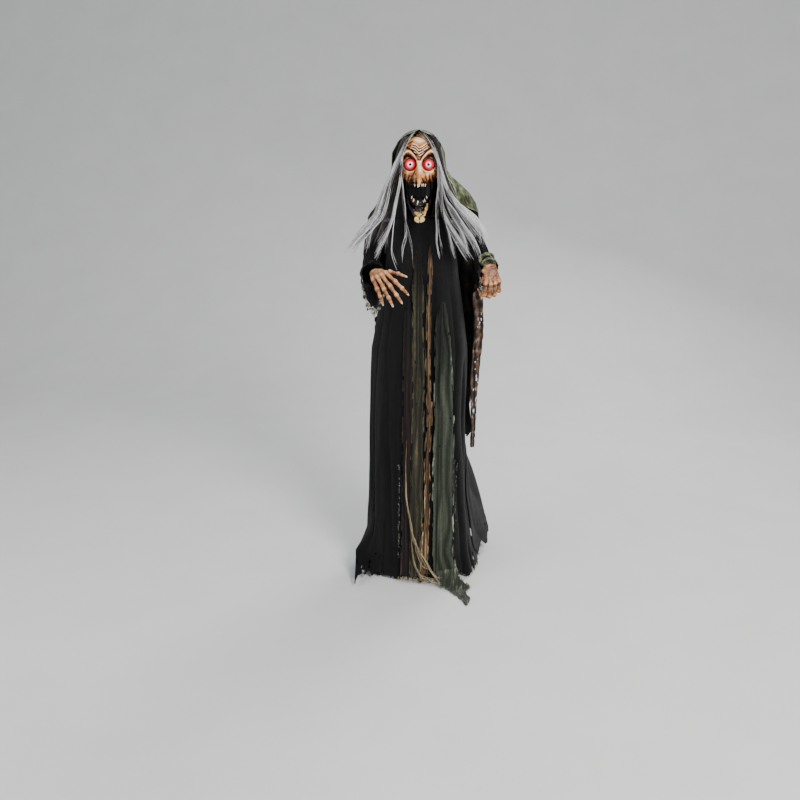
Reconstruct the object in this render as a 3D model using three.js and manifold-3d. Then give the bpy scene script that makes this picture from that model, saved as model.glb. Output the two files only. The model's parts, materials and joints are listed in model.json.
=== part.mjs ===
// A standing animated witch figure in millimetres: +Z up, the face towards -Y, the origin on the floor under its pole.
// A push-fit metal stand carries a control box, a shoulder bar with two posable arms, and a neck drive.
// One motor turns the head and another works the jaw, each through a pinion and a toothed sector.
import * as THREE from "three";
import { mergeVertices } from "three/addons/utils/BufferGeometryUtils.js";
import Module from "manifold-3d";

// Heights above the floor.
const BAR_HEIGHT = 1368;
const BOX_HEIGHT = 1000;
const EYE_HEIGHT = 1560;
// Stand.
const POLE_RADIUS = 12.5;
const POLE_BORE = 10.5;
const FOOT_RADIUS = 10;
const FOOT_HALF_LENGTH = 140;
const FOOT_AXIS_HEIGHT = 12;
const FOOT_FRONT = -105;
const FOOT_REAR = 120;
// Shoulders and arms.
const SHOULDER_RADIUS = 8;
const SHOULDER_X = 168;
const ELBOW_PIN = 3.5;
const ARM_ROD = 5;
const ELBOW_OFFSET = 5.4;
const ARM_RIGHT = { elbow: [-190, -5, 1168], wrist: [-135, -195, 1200], drop: 80 };
const ARM_LEFT = { elbow: [240, 15, 1180], wrist: [258, -168, 1236], drop: 45 };
// Head: its group stands on the neck shaft's axis at the height of the eyes.
const NECK_Y = -60;
const HEAD_YAW = 8;
const EYE_X = 31;
const EYE_RADIUS = 20;
const JAW_PIVOT = { y: 8, z: -48 };
// Gears: teeth of each pinion and of the full circle that each sector is cut from.
const PINION_TEETH = 12;
const SECTOR_TEETH = 36;
const NECK_MODULE = 1.25;
const JAW_MODULE = 1;
const PRESSURE_ANGLE = THREE.MathUtils.degToRad(25);
const TOOTH_PLAY = 0.12;
// Fits: radial clearance of a running fit, and the gap between pieces that are glued or pushed together.
const RUNNING = 0.05;
const GAP = 0.3;
const CELL_RADIUS = 7.25;
const CELL_LENGTH = 50.5;

const wasm = await Module();
wasm.setup();

const vec = (x, y, z) => new THREE.Vector3(x, y, z);
const radians = THREE.MathUtils.degToRad;
const { lerp } = THREE.MathUtils;

// Six times the volume inside a list of triangles, negative where the faces point in.
function signedVolume(position, triangles) {
  const at = (i) => new THREE.Vector3().fromArray(position, 3 * i);
  let sum = 0;
  for (let i = 0; i < triangles.length; i += 3) {
    const [a, b, c] = [0, 1, 2].map((k) => at(triangles[i + k]));
    sum += a.dot(b.cross(c));
  }
  return sum;
}

// A closed geometry as a solid whose faces point out.
function solid(geometry) {
  const bare = new THREE.BufferGeometry();
  bare.setAttribute("position", geometry.getAttribute("position"));
  bare.setIndex(geometry.getIndex());
  const merged = mergeVertices(bare, 1e-4);
  const position = merged.getAttribute("position").array;
  const index = merged.index.array;
  const triangles = [];
  for (let i = 0; i < index.length; i += 3) {
    const [a, b, c] = index.slice(i, i + 3);
    if (a !== b && b !== c && c !== a) triangles.push(a, b, c);
  }
  if (signedVolume(position, triangles) < 0) triangles.reverse();
  const mesh = { numProp: 3, vertProperties: position, triVerts: new Uint32Array(triangles) };
  return new wasm.Manifold(new wasm.Mesh(mesh));
}

const join = (...solids) => solids.reduce((whole, next) => whole.add(next));
const cut = (whole, ...tools) => tools.reduce((left, tool) => left.subtract(tool), whole);

// The radius of a many-sided hole whose flats stay clear of a round pin.
const holeRadius = (pin, sides = 16) => (pin + RUNNING) / Math.cos(Math.PI / sides);

function block([x0, x1], [y0, y1], [z0, z1]) {
  const box = new THREE.BoxGeometry(x1 - x0, y1 - y0, z1 - z0);
  return solid(box.translate((x0 + x1) / 2, (y0 + y1) / 2, (z0 + z1) / 2));
}

function rod(from, to, radius, sides = 16, endRadius = radius) {
  const start = vec(...from);
  const along = vec(...to).sub(start);
  const round = new THREE.CylinderGeometry(endRadius, radius, along.length(), sides);
  round.translate(0, along.length() / 2, 0);
  const turn = new THREE.Quaternion().setFromUnitVectors(vec(0, 1, 0), along.normalize());
  return solid(round.applyQuaternion(turn).translate(...from));
}

function tube(from, to, outer, inner, sides = 16) {
  const reach = vec(...to).sub(vec(...from)).normalize();
  const start = vec(...from).sub(reach);
  const end = vec(...to).add(reach);
  return cut(rod(from, to, outer, sides), rod(start.toArray(), end.toArray(), inner, sides));
}

function ball(centre, radius, wide = 16, high = 10) {
  return solid(new THREE.SphereGeometry(radius, wide, high).translate(...centre));
}

// A closed profile of [radius, height] points turned about the Z axis.
function lathe(profile, sides = 16) {
  const points = [...profile, profile[0]].map(([r, z]) => new THREE.Vector2(r, z));
  return new THREE.LatheGeometry(points, sides).rotateX(Math.PI / 2);
}

function pointsGeometry(points, index) {
  const geometry = new THREE.BufferGeometry().setFromPoints(points);
  geometry.setIndex(index);
  return geometry;
}

// A skin over rings with equal numbers of points, with a flat fan on each end.
function loft(rings) {
  const n = rings[0].length;
  const last = (rings.length - 1) * n;
  const index = [];
  for (let row = 0; row < last; row += n)
    for (let i = 0; i < n; i++) {
      const [a, b] = [row + i, row + ((i + 1) % n)];
      index.push(a, b, b + n, a, b + n, a + n);
    }
  for (let i = 1; i < n - 1; i++) index.push(0, i + 1, i, last, last + i, last + i + 1);
  return solid(pointsGeometry(rings.flat(), index));
}

// An oval ring of points about a centre, across two half-axes.
function oval(centre, across, up, sides = 8) {
  return Array.from({ length: sides }, (_, i) => {
    const t = (2 * Math.PI * (i + 0.5)) / sides;
    return centre.clone().addScaledVector(across, Math.cos(t)).addScaledVector(up, Math.sin(t));
  });
}

// A tapering limb through points, with one radius at each.
function limb(points, radii, sides = 7) {
  let side = null;
  const rings = points.map((point, i) => {
    const before = points[Math.max(i - 1, 0)];
    const after = points[Math.min(i + 1, points.length - 1)];
    const along = after.clone().sub(before).normalize();
    const start = side || (Math.abs(along.z) < 0.9 ? vec(0, 0, 1) : vec(1, 0, 0));
    side = start.clone().addScaledVector(along, -start.dot(along)).normalize();
    const up = along.clone().cross(side);
    return oval(point, side.clone().multiplyScalar(radii[i]), up.multiplyScalar(radii[i]), sides);
  });
  return loft(rings);
}

// A sheet with thickness between two equal grids of points; "wrap" joins its first column to its last.
function sheet(outer, inner, wrap) {
  const rows = outer.length;
  const cols = outer[0].length;
  const across = wrap ? cols : cols - 1;
  const index = [];
  const at = (side, row, col) => (side * rows + row) * cols + (col % cols);
  const quad = (a, b, c, d) => index.push(a, b, c, a, c, d);
  for (let r = 0; r < rows - 1; r++)
    for (let c = 0; c < across; c++) {
      quad(at(0, r, c), at(0, r, c + 1), at(0, r + 1, c + 1), at(0, r + 1, c));
      quad(at(1, r, c), at(1, r + 1, c), at(1, r + 1, c + 1), at(1, r, c + 1));
    }
  for (let c = 0; c < across; c++) {
    quad(at(0, 0, c + 1), at(0, 0, c), at(1, 0, c), at(1, 0, c + 1));
    quad(at(0, rows - 1, c), at(0, rows - 1, c + 1), at(1, rows - 1, c + 1), at(1, rows - 1, c));
  }
  for (let r = 0; !wrap && r < rows - 1; r++) {
    quad(at(0, r, 0), at(0, r + 1, 0), at(1, r + 1, 0), at(1, r, 0));
    quad(at(0, r + 1, cols - 1), at(0, r, cols - 1), at(1, r, cols - 1), at(1, r + 1, cols - 1));
  }
  return solid(pointsGeometry([...outer.flat(), ...inner.flat()], index));
}

// The value of each column of a table of rows at a height, straight between rows that run downwards.
function row(table, height) {
  const i = Math.max(1, table.findIndex(([z]) => z <= height));
  const [above, below] = [table[i - 1], table[i]];
  const t = (above[0] - height) / (above[0] - below[0]);
  return above.map((value, k) => lerp(value, below[k], t));
}

// The involute function, zero inside the base circle.
function involute(radius, baseRadius) {
  const angle = radius > baseRadius ? Math.acos(baseRadius / radius) : 0;
  return Math.tan(angle) - angle;
}

// Outline points of neighbouring gear teeth, the first tooth centred at an angle in degrees.
function gearTeeth(teeth, module, first, count) {
  const pitch = (teeth * module) / 2;
  const base = pitch * Math.cos(PRESSURE_ANGLE);
  const atPitch = Math.PI / (2 * teeth) - TOOTH_PLAY / (2 * pitch) + involute(pitch, base);
  const radii = [-1.1, -0.35, 0.2, 0.75].map((step) => pitch + step * module);
  const points = [];
  for (let tooth = 0; tooth < count; tooth++) {
    const middle = radians(first + (tooth * 360) / teeth);
    const flank = radii.map((r) => [r, atPitch - involute(r, base)]);
    const rising = flank.map(([r, half]) => [r, middle - half]);
    const falling = flank.map(([r, half]) => [r, middle + half]).reverse();
    points.push(...rising, ...falling);
  }
  return points.map(([r, angle]) => new THREE.Vector2(r * Math.cos(angle), r * Math.sin(angle)));
}

// A toothed wheel about the Z axis, from height 0 up; a sector closes through its centre.
function gear(teeth, module, first, count, width, hub, bore) {
  const outline = gearTeeth(teeth, module, first, count);
  if (count < teeth) outline.push(new THREE.Vector2(0, 0));
  const options = { depth: width, bevelEnabled: false };
  const wheel = solid(new THREE.ExtrudeGeometry(new THREE.Shape(outline), options));
  const boss = rod([0, 0, 0], [0, 0, width], hub);
  return cut(join(wheel, boss), rod([0, 0, -1], [0, 0, width + 1], bore));
}

// Materials: a base colour, roughness and metalness for each kind of piece.
const finish = (color, roughness, metalness = 0) => ({ color, roughness, metalness });
const BLACK_STEEL = finish(0x1b1b1d, 0.45, 0.8);
const BRIGHT_STEEL = finish(0xb4b4b8, 0.3, 0.9);
const BLACK_PLASTIC = finish(0x18181a, 0.55);
const WHITE_GEAR = finish(0xe6e2d6, 0.5);
const SKIN = finish(0xcf9a5e, 0.5);
const EYE = finish(0xd8353f, 0.15);
const TOOTH = finish(0xe0d8b4, 0.35);
const TONGUE = finish(0x8e4540, 0.4);
const HAIR = finish(0xb9b7bb, 0.75);
const BLACK_CLOTH = finish(0x101012, 0.9);
const GREEN_GAUZE = finish(0x5f6950, 0.9);
const OLIVE_GAUZE = finish(0x3f3f2c, 0.9);
const TAN_GAUZE = finish(0x6f5537, 0.9);
const GREY_GAUZE = finish(0x3e463e, 0.9);
const CIRCUIT_GREEN = finish(0x1f5a34, 0.5);
const CELL_WRAP = finish(0x2e3b52, 0.35, 0.3);
const CABLE = finish(0x151515, 0.6);

const figure = new THREE.Group();
figure.name = "witch_figure";

function group(x, y, z) {
  const made = new THREE.Group();
  made.position.set(x, y, z);
  figure.add(made);
  return made;
}

// Adds a solid to a group as a named mesh.
function place(parent, name, body, look, position = [0, 0, 0]) {
  const { numProp, vertProperties, triVerts } = body.getMesh();
  const points = new Float32Array((vertProperties.length / numProp) * 3);
  for (let i = 0; i < points.length / 3; i++)
    points.set(vertProperties.subarray(i * numProp, i * numProp + 3), i * 3);
  const geometry = new THREE.BufferGeometry();
  geometry.setAttribute("position", new THREE.BufferAttribute(points, 3));
  geometry.setIndex(new THREE.BufferAttribute(triVerts, 1));
  geometry.computeVertexNormals();
  const mesh = new THREE.Mesh(geometry, new THREE.MeshStandardMaterial(look));
  mesh.name = name;
  mesh.position.set(...position);
  parent.add(mesh);
  return mesh;
}

// ---- Stand: a spine on the floor, two cross bars with rubber ends, and a pole in three lengths.

function baseSpine() {
  const spine = block([-20, 20], [-120, 135], [0, 24]);
  const hub = rod([0, 0, 0], [0, 0, 70], 28, 24);
  const socket = rod([0, 0, 8], [0, 0, 71], POLE_RADIUS + 0.4);
  const holes = [FOOT_FRONT, FOOT_REAR].map((y) =>
    rod([-21, y, FOOT_AXIS_HEIGHT], [21, y, FOOT_AXIS_HEIGHT], FOOT_RADIUS + 0.4),
  );
  return cut(join(spine, hub), socket, ...holes);
}

function footBar() {
  return tube([-FOOT_HALF_LENGTH, 0, 0], [FOOT_HALF_LENGTH, 0, 0], FOOT_RADIUS, FOOT_RADIUS - 1.2);
}

// A cap over the end of a bar that points along +X or -X, from its own origin outwards.
function barCap(side) {
  const shell = rod([-14 * side, 0, 0], [2 * side, 0, 0], FOOT_AXIS_HEIGHT);
  return cut(shell, rod([-15 * side, 0, 0], [-0.4 * side, 0, 0], FOOT_RADIUS + 0.4));
}

// A length of pole with a thinner spigot below it that slips into the next length down.
function poleLength(bottom, top, spigot) {
  const body = tube([0, 0, bottom], [0, 0, top], POLE_RADIUS, POLE_BORE);
  if (!spigot) return body;
  const plug = rod([0, 0, bottom - spigot], [0, 0, bottom + 6], POLE_BORE - 0.4);
  const bore = rod([0, 0, bottom - spigot - 1], [0, 0, bottom + 7], POLE_BORE - 2.4);
  const web = rod([0, 0, bottom], [0, 0, bottom + 6], POLE_BORE + 0.5);
  return join(body, cut(join(plug, web), bore));
}

function addStand() {
  const stand = group(0, 0, 0);
  place(stand, "base_spine", baseSpine(), BLACK_STEEL);
  const feet = [["front", FOOT_FRONT], ["rear", FOOT_REAR]];
  for (const [end, y] of feet) {
    place(stand, `base_bar_${end}`, footBar(), BLACK_STEEL, [0, y, FOOT_AXIS_HEIGHT]);
    for (const [hand, side] of [["left", 1], ["right", -1]]) {
      const at = [side * (FOOT_HALF_LENGTH + 0.7), y, FOOT_AXIS_HEIGHT];
      place(stand, `bar_cap_${end}_${hand}`, barCap(side), BLACK_PLASTIC, at);
    }
  }
  place(stand, "pole_lower", poleLength(8 + GAP, 500, 0), BRIGHT_STEEL);
  place(stand, "pole_middle", poleLength(500 + GAP, 950, 40), BRIGHT_STEEL);
  place(stand, "pole_upper", poleLength(950 + GAP, 1352, 40), BRIGHT_STEEL);
}

// ---- Control box: clamped to the pole, with the batteries, speaker, circuit board and power switch.

function boxFront() {
  const shell = cut(block([-58, 58], [15, 44], [0, 150]), block([-55.5, 55.5], [17.5, 45], [2.5, 147.5]));
  const clamp = rod([0, 0, 80], [0, 0, 110], 18);
  const posts = [[-40, 20], [40, 20], [-40, 130], [40, 130]].map(([x, z]) => rod([x, 17, z], [x, 29.7, z], 3, 12));
  const cable = rod([20, 32, 146], [20, 32, 151], 3.4, 12);
  return cut(join(shell, clamp, ...posts), rod([0, 0, 79], [0, 0, 111], POLE_RADIUS + 0.4), cable);
}

function boxRear() {
  const shell = cut(block([-58, 58], [44.3, 75], [0, 150]), block([-55.5, 55.5], [44, 72.5], [2.5, 147.5]));
  const bay = block([-30, 30], [52, 75], [8, 70]);
  const pocket = block([-27.5, 27.5], [55, 76], [11, 67]);
  const seat = cut(rod([0, 73, 110], [0, 50, 110], 28), rod([0, 74, 110], [0, 49, 110], 25.4));
  const grille = [-20, -10, 0, 10, 20].map((z) => block([-18, 18], [72, 76], [108.5 + z, 111.5 + z]));
  const slot = block([54, 59], [56.6, 61.4], [89, 109]);
  const lugs = [-1, 1].map((side) => block([20 * side - 2, 20 * side + 2], [74.5, 79.6], [1, 6.3]));
  const pins = [-1, 1].map((side) => rod([18 * side, 77.5, 4], [14 * side, 77.5, 4], 1.4));
  return join(cut(join(shell, bay, seat), pocket, ...grille, slot), ...lugs, ...pins);
}

function batteryDoor() {
  const plate = block([-30, 30], [75.4, 78.4], [7.4, 71]);
  const barrel = rod([-17, 77.5, 4], [17, 77.5, 4], 2.5);
  const leaf = block([-17, 17], [76, 78.4], [4, 8]);
  const bores = [-1, 1].map((side) => rod([18 * side, 77.5, 4], [13 * side, 77.5, 4], holeRadius(1.4)));
  return cut(join(plate, barrel, leaf), ...bores);
}

function battery() {
  const can = rod([0, 0, 0], [0, 0, CELL_LENGTH - 1], CELL_RADIUS);
  return join(can, rod([0, 0, CELL_LENGTH - 2], [0, 0, CELL_LENGTH], 2.75, 12));
}

function speaker() {
  const magnet = rod([0, 54, 110], [0, 62, 110], 14);
  const basket = rod([0, 61, 110], [0, 70, 110], 16, 24, 25);
  return cut(join(magnet, basket), rod([0, 65, 110], [0, 71, 110], 4, 24, 22));
}

function circuitBoard() {
  const chips = [[-30, -10, 60], [5, 25, 80], [10, 18, 40]].map(([x0, x1, z]) => block([x0, x1], [31, 34], [z, z + 14]));
  return join(block([-45, 45], [30, 31.6], [12, 138]), ...chips);
}

function wiringHarness() {
  const stops = [[20, 32, 149], [20, 32, 180], [16, 30, 250], [14, 36, 330], [10, 40, 380], [8, 38, 405], [6, 25.8, 420]];
  const path = new THREE.CatmullRomCurve3(stops.map((p) => vec(...p)));
  const section = new THREE.Shape(new THREE.EllipseCurve(0, 0, 3, 3).getPoints(8));
  return solid(new THREE.ExtrudeGeometry(section, { steps: 18, extrudePath: path }));
}

function addControlBox() {
  const box = group(0, 0, BOX_HEIGHT);
  place(box, "control_box_front", boxFront(), BLACK_PLASTIC);
  place(box, "control_box_rear", boxRear(), BLACK_PLASTIC);
  place(box, "battery_door", batteryDoor(), BLACK_PLASTIC);
  [-16, 0, 16].forEach((x, i) => place(box, `battery_${i + 1}`, battery(), CELL_WRAP, [x, 63.5, 13]));
  place(box, "speaker", speaker(), BRIGHT_STEEL);
  place(box, "circuit_board", circuitBoard(), CIRCUIT_GREEN);
  place(box, "power_switch_knob", block([53, 62], [57, 61], [91, 98]), BLACK_PLASTIC);
  place(box, "wiring_harness", wiringHarness(), CABLE);
}

// ---- Shoulders and neck drive, in a group at the height of the shoulder bar.

function shoulderHub() {
  const hub = block([-30, 30], [-22, 22], [-46, 24]);
  const socket = rod([0, 0, -47], [0, 0, -15.4], POLE_RADIUS + 0.4);
  return cut(hub, socket, rod([-31, 0, 0], [31, 0, 0], SHOULDER_RADIUS + 0.4));
}

function neckHousing() {
  const shell = cut(block([-23, 23], [-75, 25], [24.4, 82]), block([-20.5, 20.5], [-72.5, 22.5], [26.9, 83]));
  const boss = rod([0, NECK_Y, 25], [0, NECK_Y, 67.7], 9);
  const cable = rod([6, 21, 52], [6, 28, 52], 3.6, 12);
  return cut(join(shell, boss), rod([0, NECK_Y, 26.9], [0, NECK_Y, 68], holeRadius(6)), cable);
}

function neckCover() {
  return cut(block([-23, 23], [-75, 25], [82.3, 85]), rod([0, NECK_Y, 82], [0, NECK_Y, 86], 7));
}

function neckMotor() {
  return join(rod([0, -30, 27.2], [0, -30, 60], 10), rod([0, -30, 59], [0, -30, 77], 1.5, 12));
}

function addNeck() {
  const neck = group(0, 0, BAR_HEIGHT);
  const bar = tube([-182, 0, 0], [182, 0, 0], SHOULDER_RADIUS, SHOULDER_RADIUS - 1.5);
  place(neck, "shoulder_hub", shoulderHub(), BLACK_PLASTIC);
  place(neck, "shoulder_bar", bar, BRIGHT_STEEL);
  place(neck, "neck_housing", neckHousing(), BLACK_PLASTIC);
  place(neck, "neck_cover", neckCover(), BLACK_PLASTIC);
  place(neck, "neck_motor", neckMotor(), BRIGHT_STEEL);
  const pinionBody = gear(PINION_TEETH, NECK_MODULE, 285, PINION_TEETH, 10, 5, 1.9);
  const pinion = place(neck, "neck_pinion", pinionBody, WHITE_GEAR, [0, -30, 68]);
  pinion.rotation.z = radians((-HEAD_YAW * SECTOR_TEETH) / PINION_TEETH);
  return neck;
}

// ---- Head: its frame, drive, mask, eyes, jaw, hood and hair, in a group that turns about the neck shaft.

function headShaft() {
  const shaft = rod([0, 0, -155], [0, 0, -86.2], 6);
  return cut(shaft, rod([0, 0, -156], [0, 0, -86], 3.5, 16));
}

function headFrame() {
  const hub = rod([0, 0, -102], [0, 0, -80], 12);
  const floor = join(block([-34, 34], [-36, 33], [-86, -80]), block([-46, 46], [32, 65], [-86, -80]));
  const back = block([-46, 46], [61, 65], [-86, 40]);
  const ears = [-1, 1].map((s) => block([44 * s - 2, 44 * s + 2], [-15, 65], [-80.5, -30]));
  const rails = [-1, 1].map((s) => block([41 * s - 3, 41 * s + 3], [-43, 62], [24, 30]));
  const eyePlate = block([-44, 44], [-46, -42], [-40, 30]);
  const cradle = block([-14, 24], [16, 34], [-81, -39.6]);
  const body = join(hub, floor, back, ...ears, ...rails, eyePlate, cradle);
  const shaftHole = rod([0, 0, -103], [0, 0, -85.9], 6.2);
  const lamps = [-1, 1].map((s) => rod([EYE_X * s, -47, 0], [EYE_X * s, -41, 0], 6));
  const pinHole = rod([-50, JAW_PIVOT.y, JAW_PIVOT.z], [50, JAW_PIVOT.y, JAW_PIVOT.z], holeRadius(3));
  return cut(body, shaftHole, ...lamps, pinHole);
}

// Half-width and forward reach of the mask, from its top edge down.
const MASK = [
  [92, 28, 27],
  [80, 50, 52],
  [50, 66, 76],
  [15, 72, 81],
  [-15, 72, 78],
  [-45, 64, 76],
  [-68, 56, 74],
];

// Points of the mask's surface, moved in by a wall thickness.
function maskGrid(inset) {
  return MASK.map(([z, half, reach]) =>
    Array.from({ length: 21 }, (_, i) => {
      const t = radians(lerp(-98, 98, i / 20));
      return vec((half - inset) * Math.sin(t), 2 - (reach - inset) * Math.cos(t), z);
    }),
  );
}

function faceMask() {
  const shell = sheet(maskGrid(0), maskGrid(4), false);
  const stops = [[0, -70, 12], [0, -84, 2], [0, -104, -14], [0, -124, -32], [0, -138, -50], [0, -143, -66]];
  const nose = limb(stops.map((p) => vec(...p)), [7, 9, 13, 14, 11, 4], 8);
  const holes = [-1, 1].map((s) => rod([EYE_X * s, -120, 0], [EYE_X * s, -40, 0], EYE_RADIUS + 1.5));
  return cut(join(shell, nose), ...holes);
}

// A hollow dome behind which the lamp sits, open at its flat back.
function eyeDome() {
  const shell = cut(ball([0, 0, 0], EYE_RADIUS), ball([0, 0, 0], EYE_RADIUS - 3, 12, 8));
  return cut(shell, block([-30, 30], [13, 30], [-30, 30]));
}

function eyeBoard() {
  const lamps = [-1, 1].map((s) => rod([EYE_X * s, -40, 0], [EYE_X * s, -50, 0], 3, 12));
  return join(block([-45, 45], [-41.6, -40], [-15, 15]), ...lamps);
}

// Spots along a horseshoe, from one end round the front to the other.
function horseshoe(half, reach, spread, count) {
  return Array.from({ length: count }, (_, i) => {
    const t = radians(lerp(-spread, spread, i / (count - 1)));
    return [half * Math.sin(t), -reach * Math.cos(t)];
  });
}

function upperTeeth() {
  const band = (half, reach, z) => horseshoe(half, reach, 48, 11).map(([x, y]) => vec(x, y + 2, z));
  const gum = sheet([band(49, 68, -56), band(49, 68, -69)], [band(44, 63, -56), band(44, 63, -69)], false);
  const roots = horseshoe(46.5, 65.5, 30, 5);
  return join(gum, ...roots.map(([x, y], i) => rod([x, y + 2, -66], [x, y + 2, i % 2 ? -82 : -77], 3, 6, 1.6)));
}

// The jaw's plan is a horseshoe that drops from its hinge cheeks to the chin.
function jawRow(inset, lift) {
  return horseshoe(41 - inset, 104 - inset, 90, 19).map(([x, y]) => {
    const forward = -y / 104;
    const z = lift ? lerp(-85, -136, forward) : lerp(-124, -184, Math.pow(forward, 1.5));
    return vec(x, y - 2, z);
  });
}

function jawCheek(side) {
  const inner = 36 * side;
  const outer = 41 * side;
  const outline = [[-2, -122], [-26, -128], [-20, -92], [0, -40], [14, -40], [14, -62]];
  return loft([inner, outer].map((x) => outline.map(([y, z]) => vec(x, y, z))));
}

function jawSector() {
  const teeth = gear(SECTOR_TEETH, JAW_MODULE, 25, 7, 5, 9, 2);
  return teeth.rotate([90, 0, 90]).translate([36, JAW_PIVOT.y, JAW_PIVOT.z]);
}

function jawShell() {
  const bowl = sheet([jawRow(0, true), jawRow(0, false)], [jawRow(5, true), jawRow(5, false)], false);
  const hub = rod([-41, JAW_PIVOT.y, JAW_PIVOT.z], [-36, JAW_PIVOT.y, JAW_PIVOT.z], 9);
  const floor = loft([-167, -161].map((z) => horseshoe(39, 101, 36, 9).map(([x, y]) => vec(x, y - 2, z))));
  const body = join(bowl, floor, jawCheek(1), jawCheek(-1), hub, jawSector());
  return cut(body, rod([-50, JAW_PIVOT.y, JAW_PIVOT.z], [50, JAW_PIVOT.y, JAW_PIVOT.z], holeRadius(3)));
}

function lowerTeeth() {
  const line = horseshoe(32, 92, 66, 9);
  const height = ([, y]) => lerp(-85, -136, -y / 104) + 4;
  const ring = (inset) =>
    [0, 7].map((up) =>
      horseshoe(35 - inset, 95 - inset, 66, 15).map(([x, y]) => vec(x, y - 2, height([x, y]) - 9 + up)),
    );
  const gum = sheet(ring(0.5), ring(5), false);
  const teeth = line.map(([x, y]) => rod([x, y - 2, height([x, y]) - 6], [x, y - 2, height([x, y]) + 8], 3.4, 6, 1.6));
  return join(gum, ...teeth);
}

function tongue() {
  const spine = [[-30, -142], [-50, -138], [-70, -140], [-84, -146]];
  const half = [15, 17, 14, 7];
  return loft(spine.map(([y, z], i) => oval(vec(0, y, z), vec(half[i], 0, 0), vec(0, 1, 5), 10)));
}

function jawMotor() {
  const [y, z] = jawPinionAxis();
  return join(rod([-18, y, z], [33, y, z], 8), rod([32, y, z], [41, y, z], 1.5, 12));
}

function jawPinionAxis() {
  const reach = ((SECTOR_TEETH + PINION_TEETH) * JAW_MODULE * Math.SQRT1_2) / 2;
  return [JAW_PIVOT.y + reach, JAW_PIVOT.z + reach];
}

function jawPinion() {
  const [y, z] = jawPinionAxis();
  const wheel = gear(PINION_TEETH, JAW_MODULE, 0, PINION_TEETH, 5, 4, 1.9);
  return wheel.rotate([90, 0, 90]).translate([36, y, z]);
}

// A deep rounded cap of cloth, open in front and below.
function hood() {
  const egg = (inset) =>
    solid(new THREE.SphereGeometry(1, 20, 12).scale(96 - inset, 118 - inset, 116 - inset).translate(0, 20, 0));
  const front = block([-120, 120], [-160, 0], [-130, 95]);
  const below = block([-120, 120], [-160, 160], [-130, -78]);
  return cut(egg(0), egg(5), front, below);
}

// A lock of hair: stops of [x, y, z, half-width, half-thickness] from under the hood down.
function hairLock(side, stops) {
  return loft(stops.map(([x, y, z, wide, thick]) => oval(vec(x * side, y, z), vec(wide, 0, 0), vec(0, thick, 0), 10)));
}

const HAIR_LEFT = [
  [70, -38, 62, 12, 8],
  [84, -62, -40, 20, 10],
  [112, -80, -120, 30, 11],
  [138, -88, -200, 40, 12],
  [160, -90, -272, 46, 12],
];
const HAIR_RIGHT = [
  [70, -38, 62, 12, 8],
  [84, -62, -40, 20, 10],
  [112, -82, -120, 32, 11],
  [142, -95, -200, 44, 12],
  [172, -104, -268, 54, 12],
];

function addHead() {
  const head = group(0, NECK_Y, EYE_HEIGHT);
  head.rotation.z = radians(HEAD_YAW);
  const sectorBody = gear(SECTOR_TEETH, NECK_MODULE, 60, 7, 10, 10, 6.2);
  place(head, "neck_sector_gear", sectorBody, WHITE_GEAR, [0, 0, -124]);
  place(head, "head_shaft", headShaft(), BRIGHT_STEEL);
  place(head, "head_frame", headFrame(), BLACK_PLASTIC);
  place(head, "face_mask", faceMask(), SKIN);
  place(head, "eye_left", eyeDome(), EYE, [EYE_X, -60, 0]);
  place(head, "eye_right", eyeDome(), EYE, [-EYE_X, -60, 0]);
  place(head, "eye_led_board", eyeBoard(), CIRCUIT_GREEN);
  place(head, "upper_teeth", upperTeeth(), TOOTH);
  place(head, "jaw_shell", jawShell(), SKIN);
  place(head, "lower_teeth", lowerTeeth(), TOOTH);
  place(head, "tongue", tongue(), TONGUE);
  const pin = rod([-49, 0, 0], [49, 0, 0], 3);
  place(head, "jaw_pivot_pin", pin, BRIGHT_STEEL, [0, JAW_PIVOT.y, JAW_PIVOT.z]);
  place(head, "jaw_motor", jawMotor(), BRIGHT_STEEL);
  place(head, "jaw_pinion", jawPinion(), WHITE_GEAR);
  place(head, "hood", hood(), GREEN_GAUZE);
  place(head, "hair_left", hairLock(1, HAIR_LEFT), HAIR);
  place(head, "hair_right", hairLock(-1, HAIR_RIGHT), HAIR);
}

// ---- Arms: rods with a friction elbow, each in a sleeve, with a hand pushed onto the forearm.

const unit = (from, to) => vec(...to).sub(vec(...from)).normalize();
const along = (from, direction, distance) => vec(...from).addScaledVector(direction, distance).toArray();

// One arm's directions down the upper arm and forearm, the elbow's axis, and where the forearm rod starts.
function armFrame({ shoulder, elbow, wrist }) {
  const upper = unit(shoulder, elbow);
  const axis = upper.clone().cross(unit(elbow, wrist)).normalize();
  const knee = along(elbow, axis, ELBOW_OFFSET);
  return { upper, fore: unit(knee, wrist), axis, knee };
}

function upperArm(arm) {
  const { upper, axis } = armFrame(arm);
  const [x] = arm.shoulder;
  const at = (dx) => [x + dx, 0, BAR_HEIGHT];
  const eye = rod(at(-10), at(10), 13);
  const disc = rod(along(arm.elbow, axis, -10.4), along(arm.elbow, axis, -0.3), 12);
  const pin = rod(along(arm.elbow, axis, -1), along(arm.elbow, axis, 12), ELBOW_PIN);
  const shaft = rod(along(arm.shoulder, upper, 11), along(along(arm.elbow, axis, -ELBOW_OFFSET), upper, -9), ARM_ROD);
  return cut(join(eye, disc, pin, shaft), rod(at(-11), at(11), holeRadius(SHOULDER_RADIUS)));
}

function forearm(arm) {
  const { fore, axis, knee } = armFrame(arm);
  const disc = rod(along(arm.elbow, axis, 0.3), along(arm.elbow, axis, 10.4), 12);
  const shaft = rod(along(knee, fore, 9), arm.wrist, ARM_ROD);
  const bore = rod(along(arm.elbow, axis, -1), along(arm.elbow, axis, 12), holeRadius(ELBOW_PIN));
  return cut(join(disc, shaft), bore);
}

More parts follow.
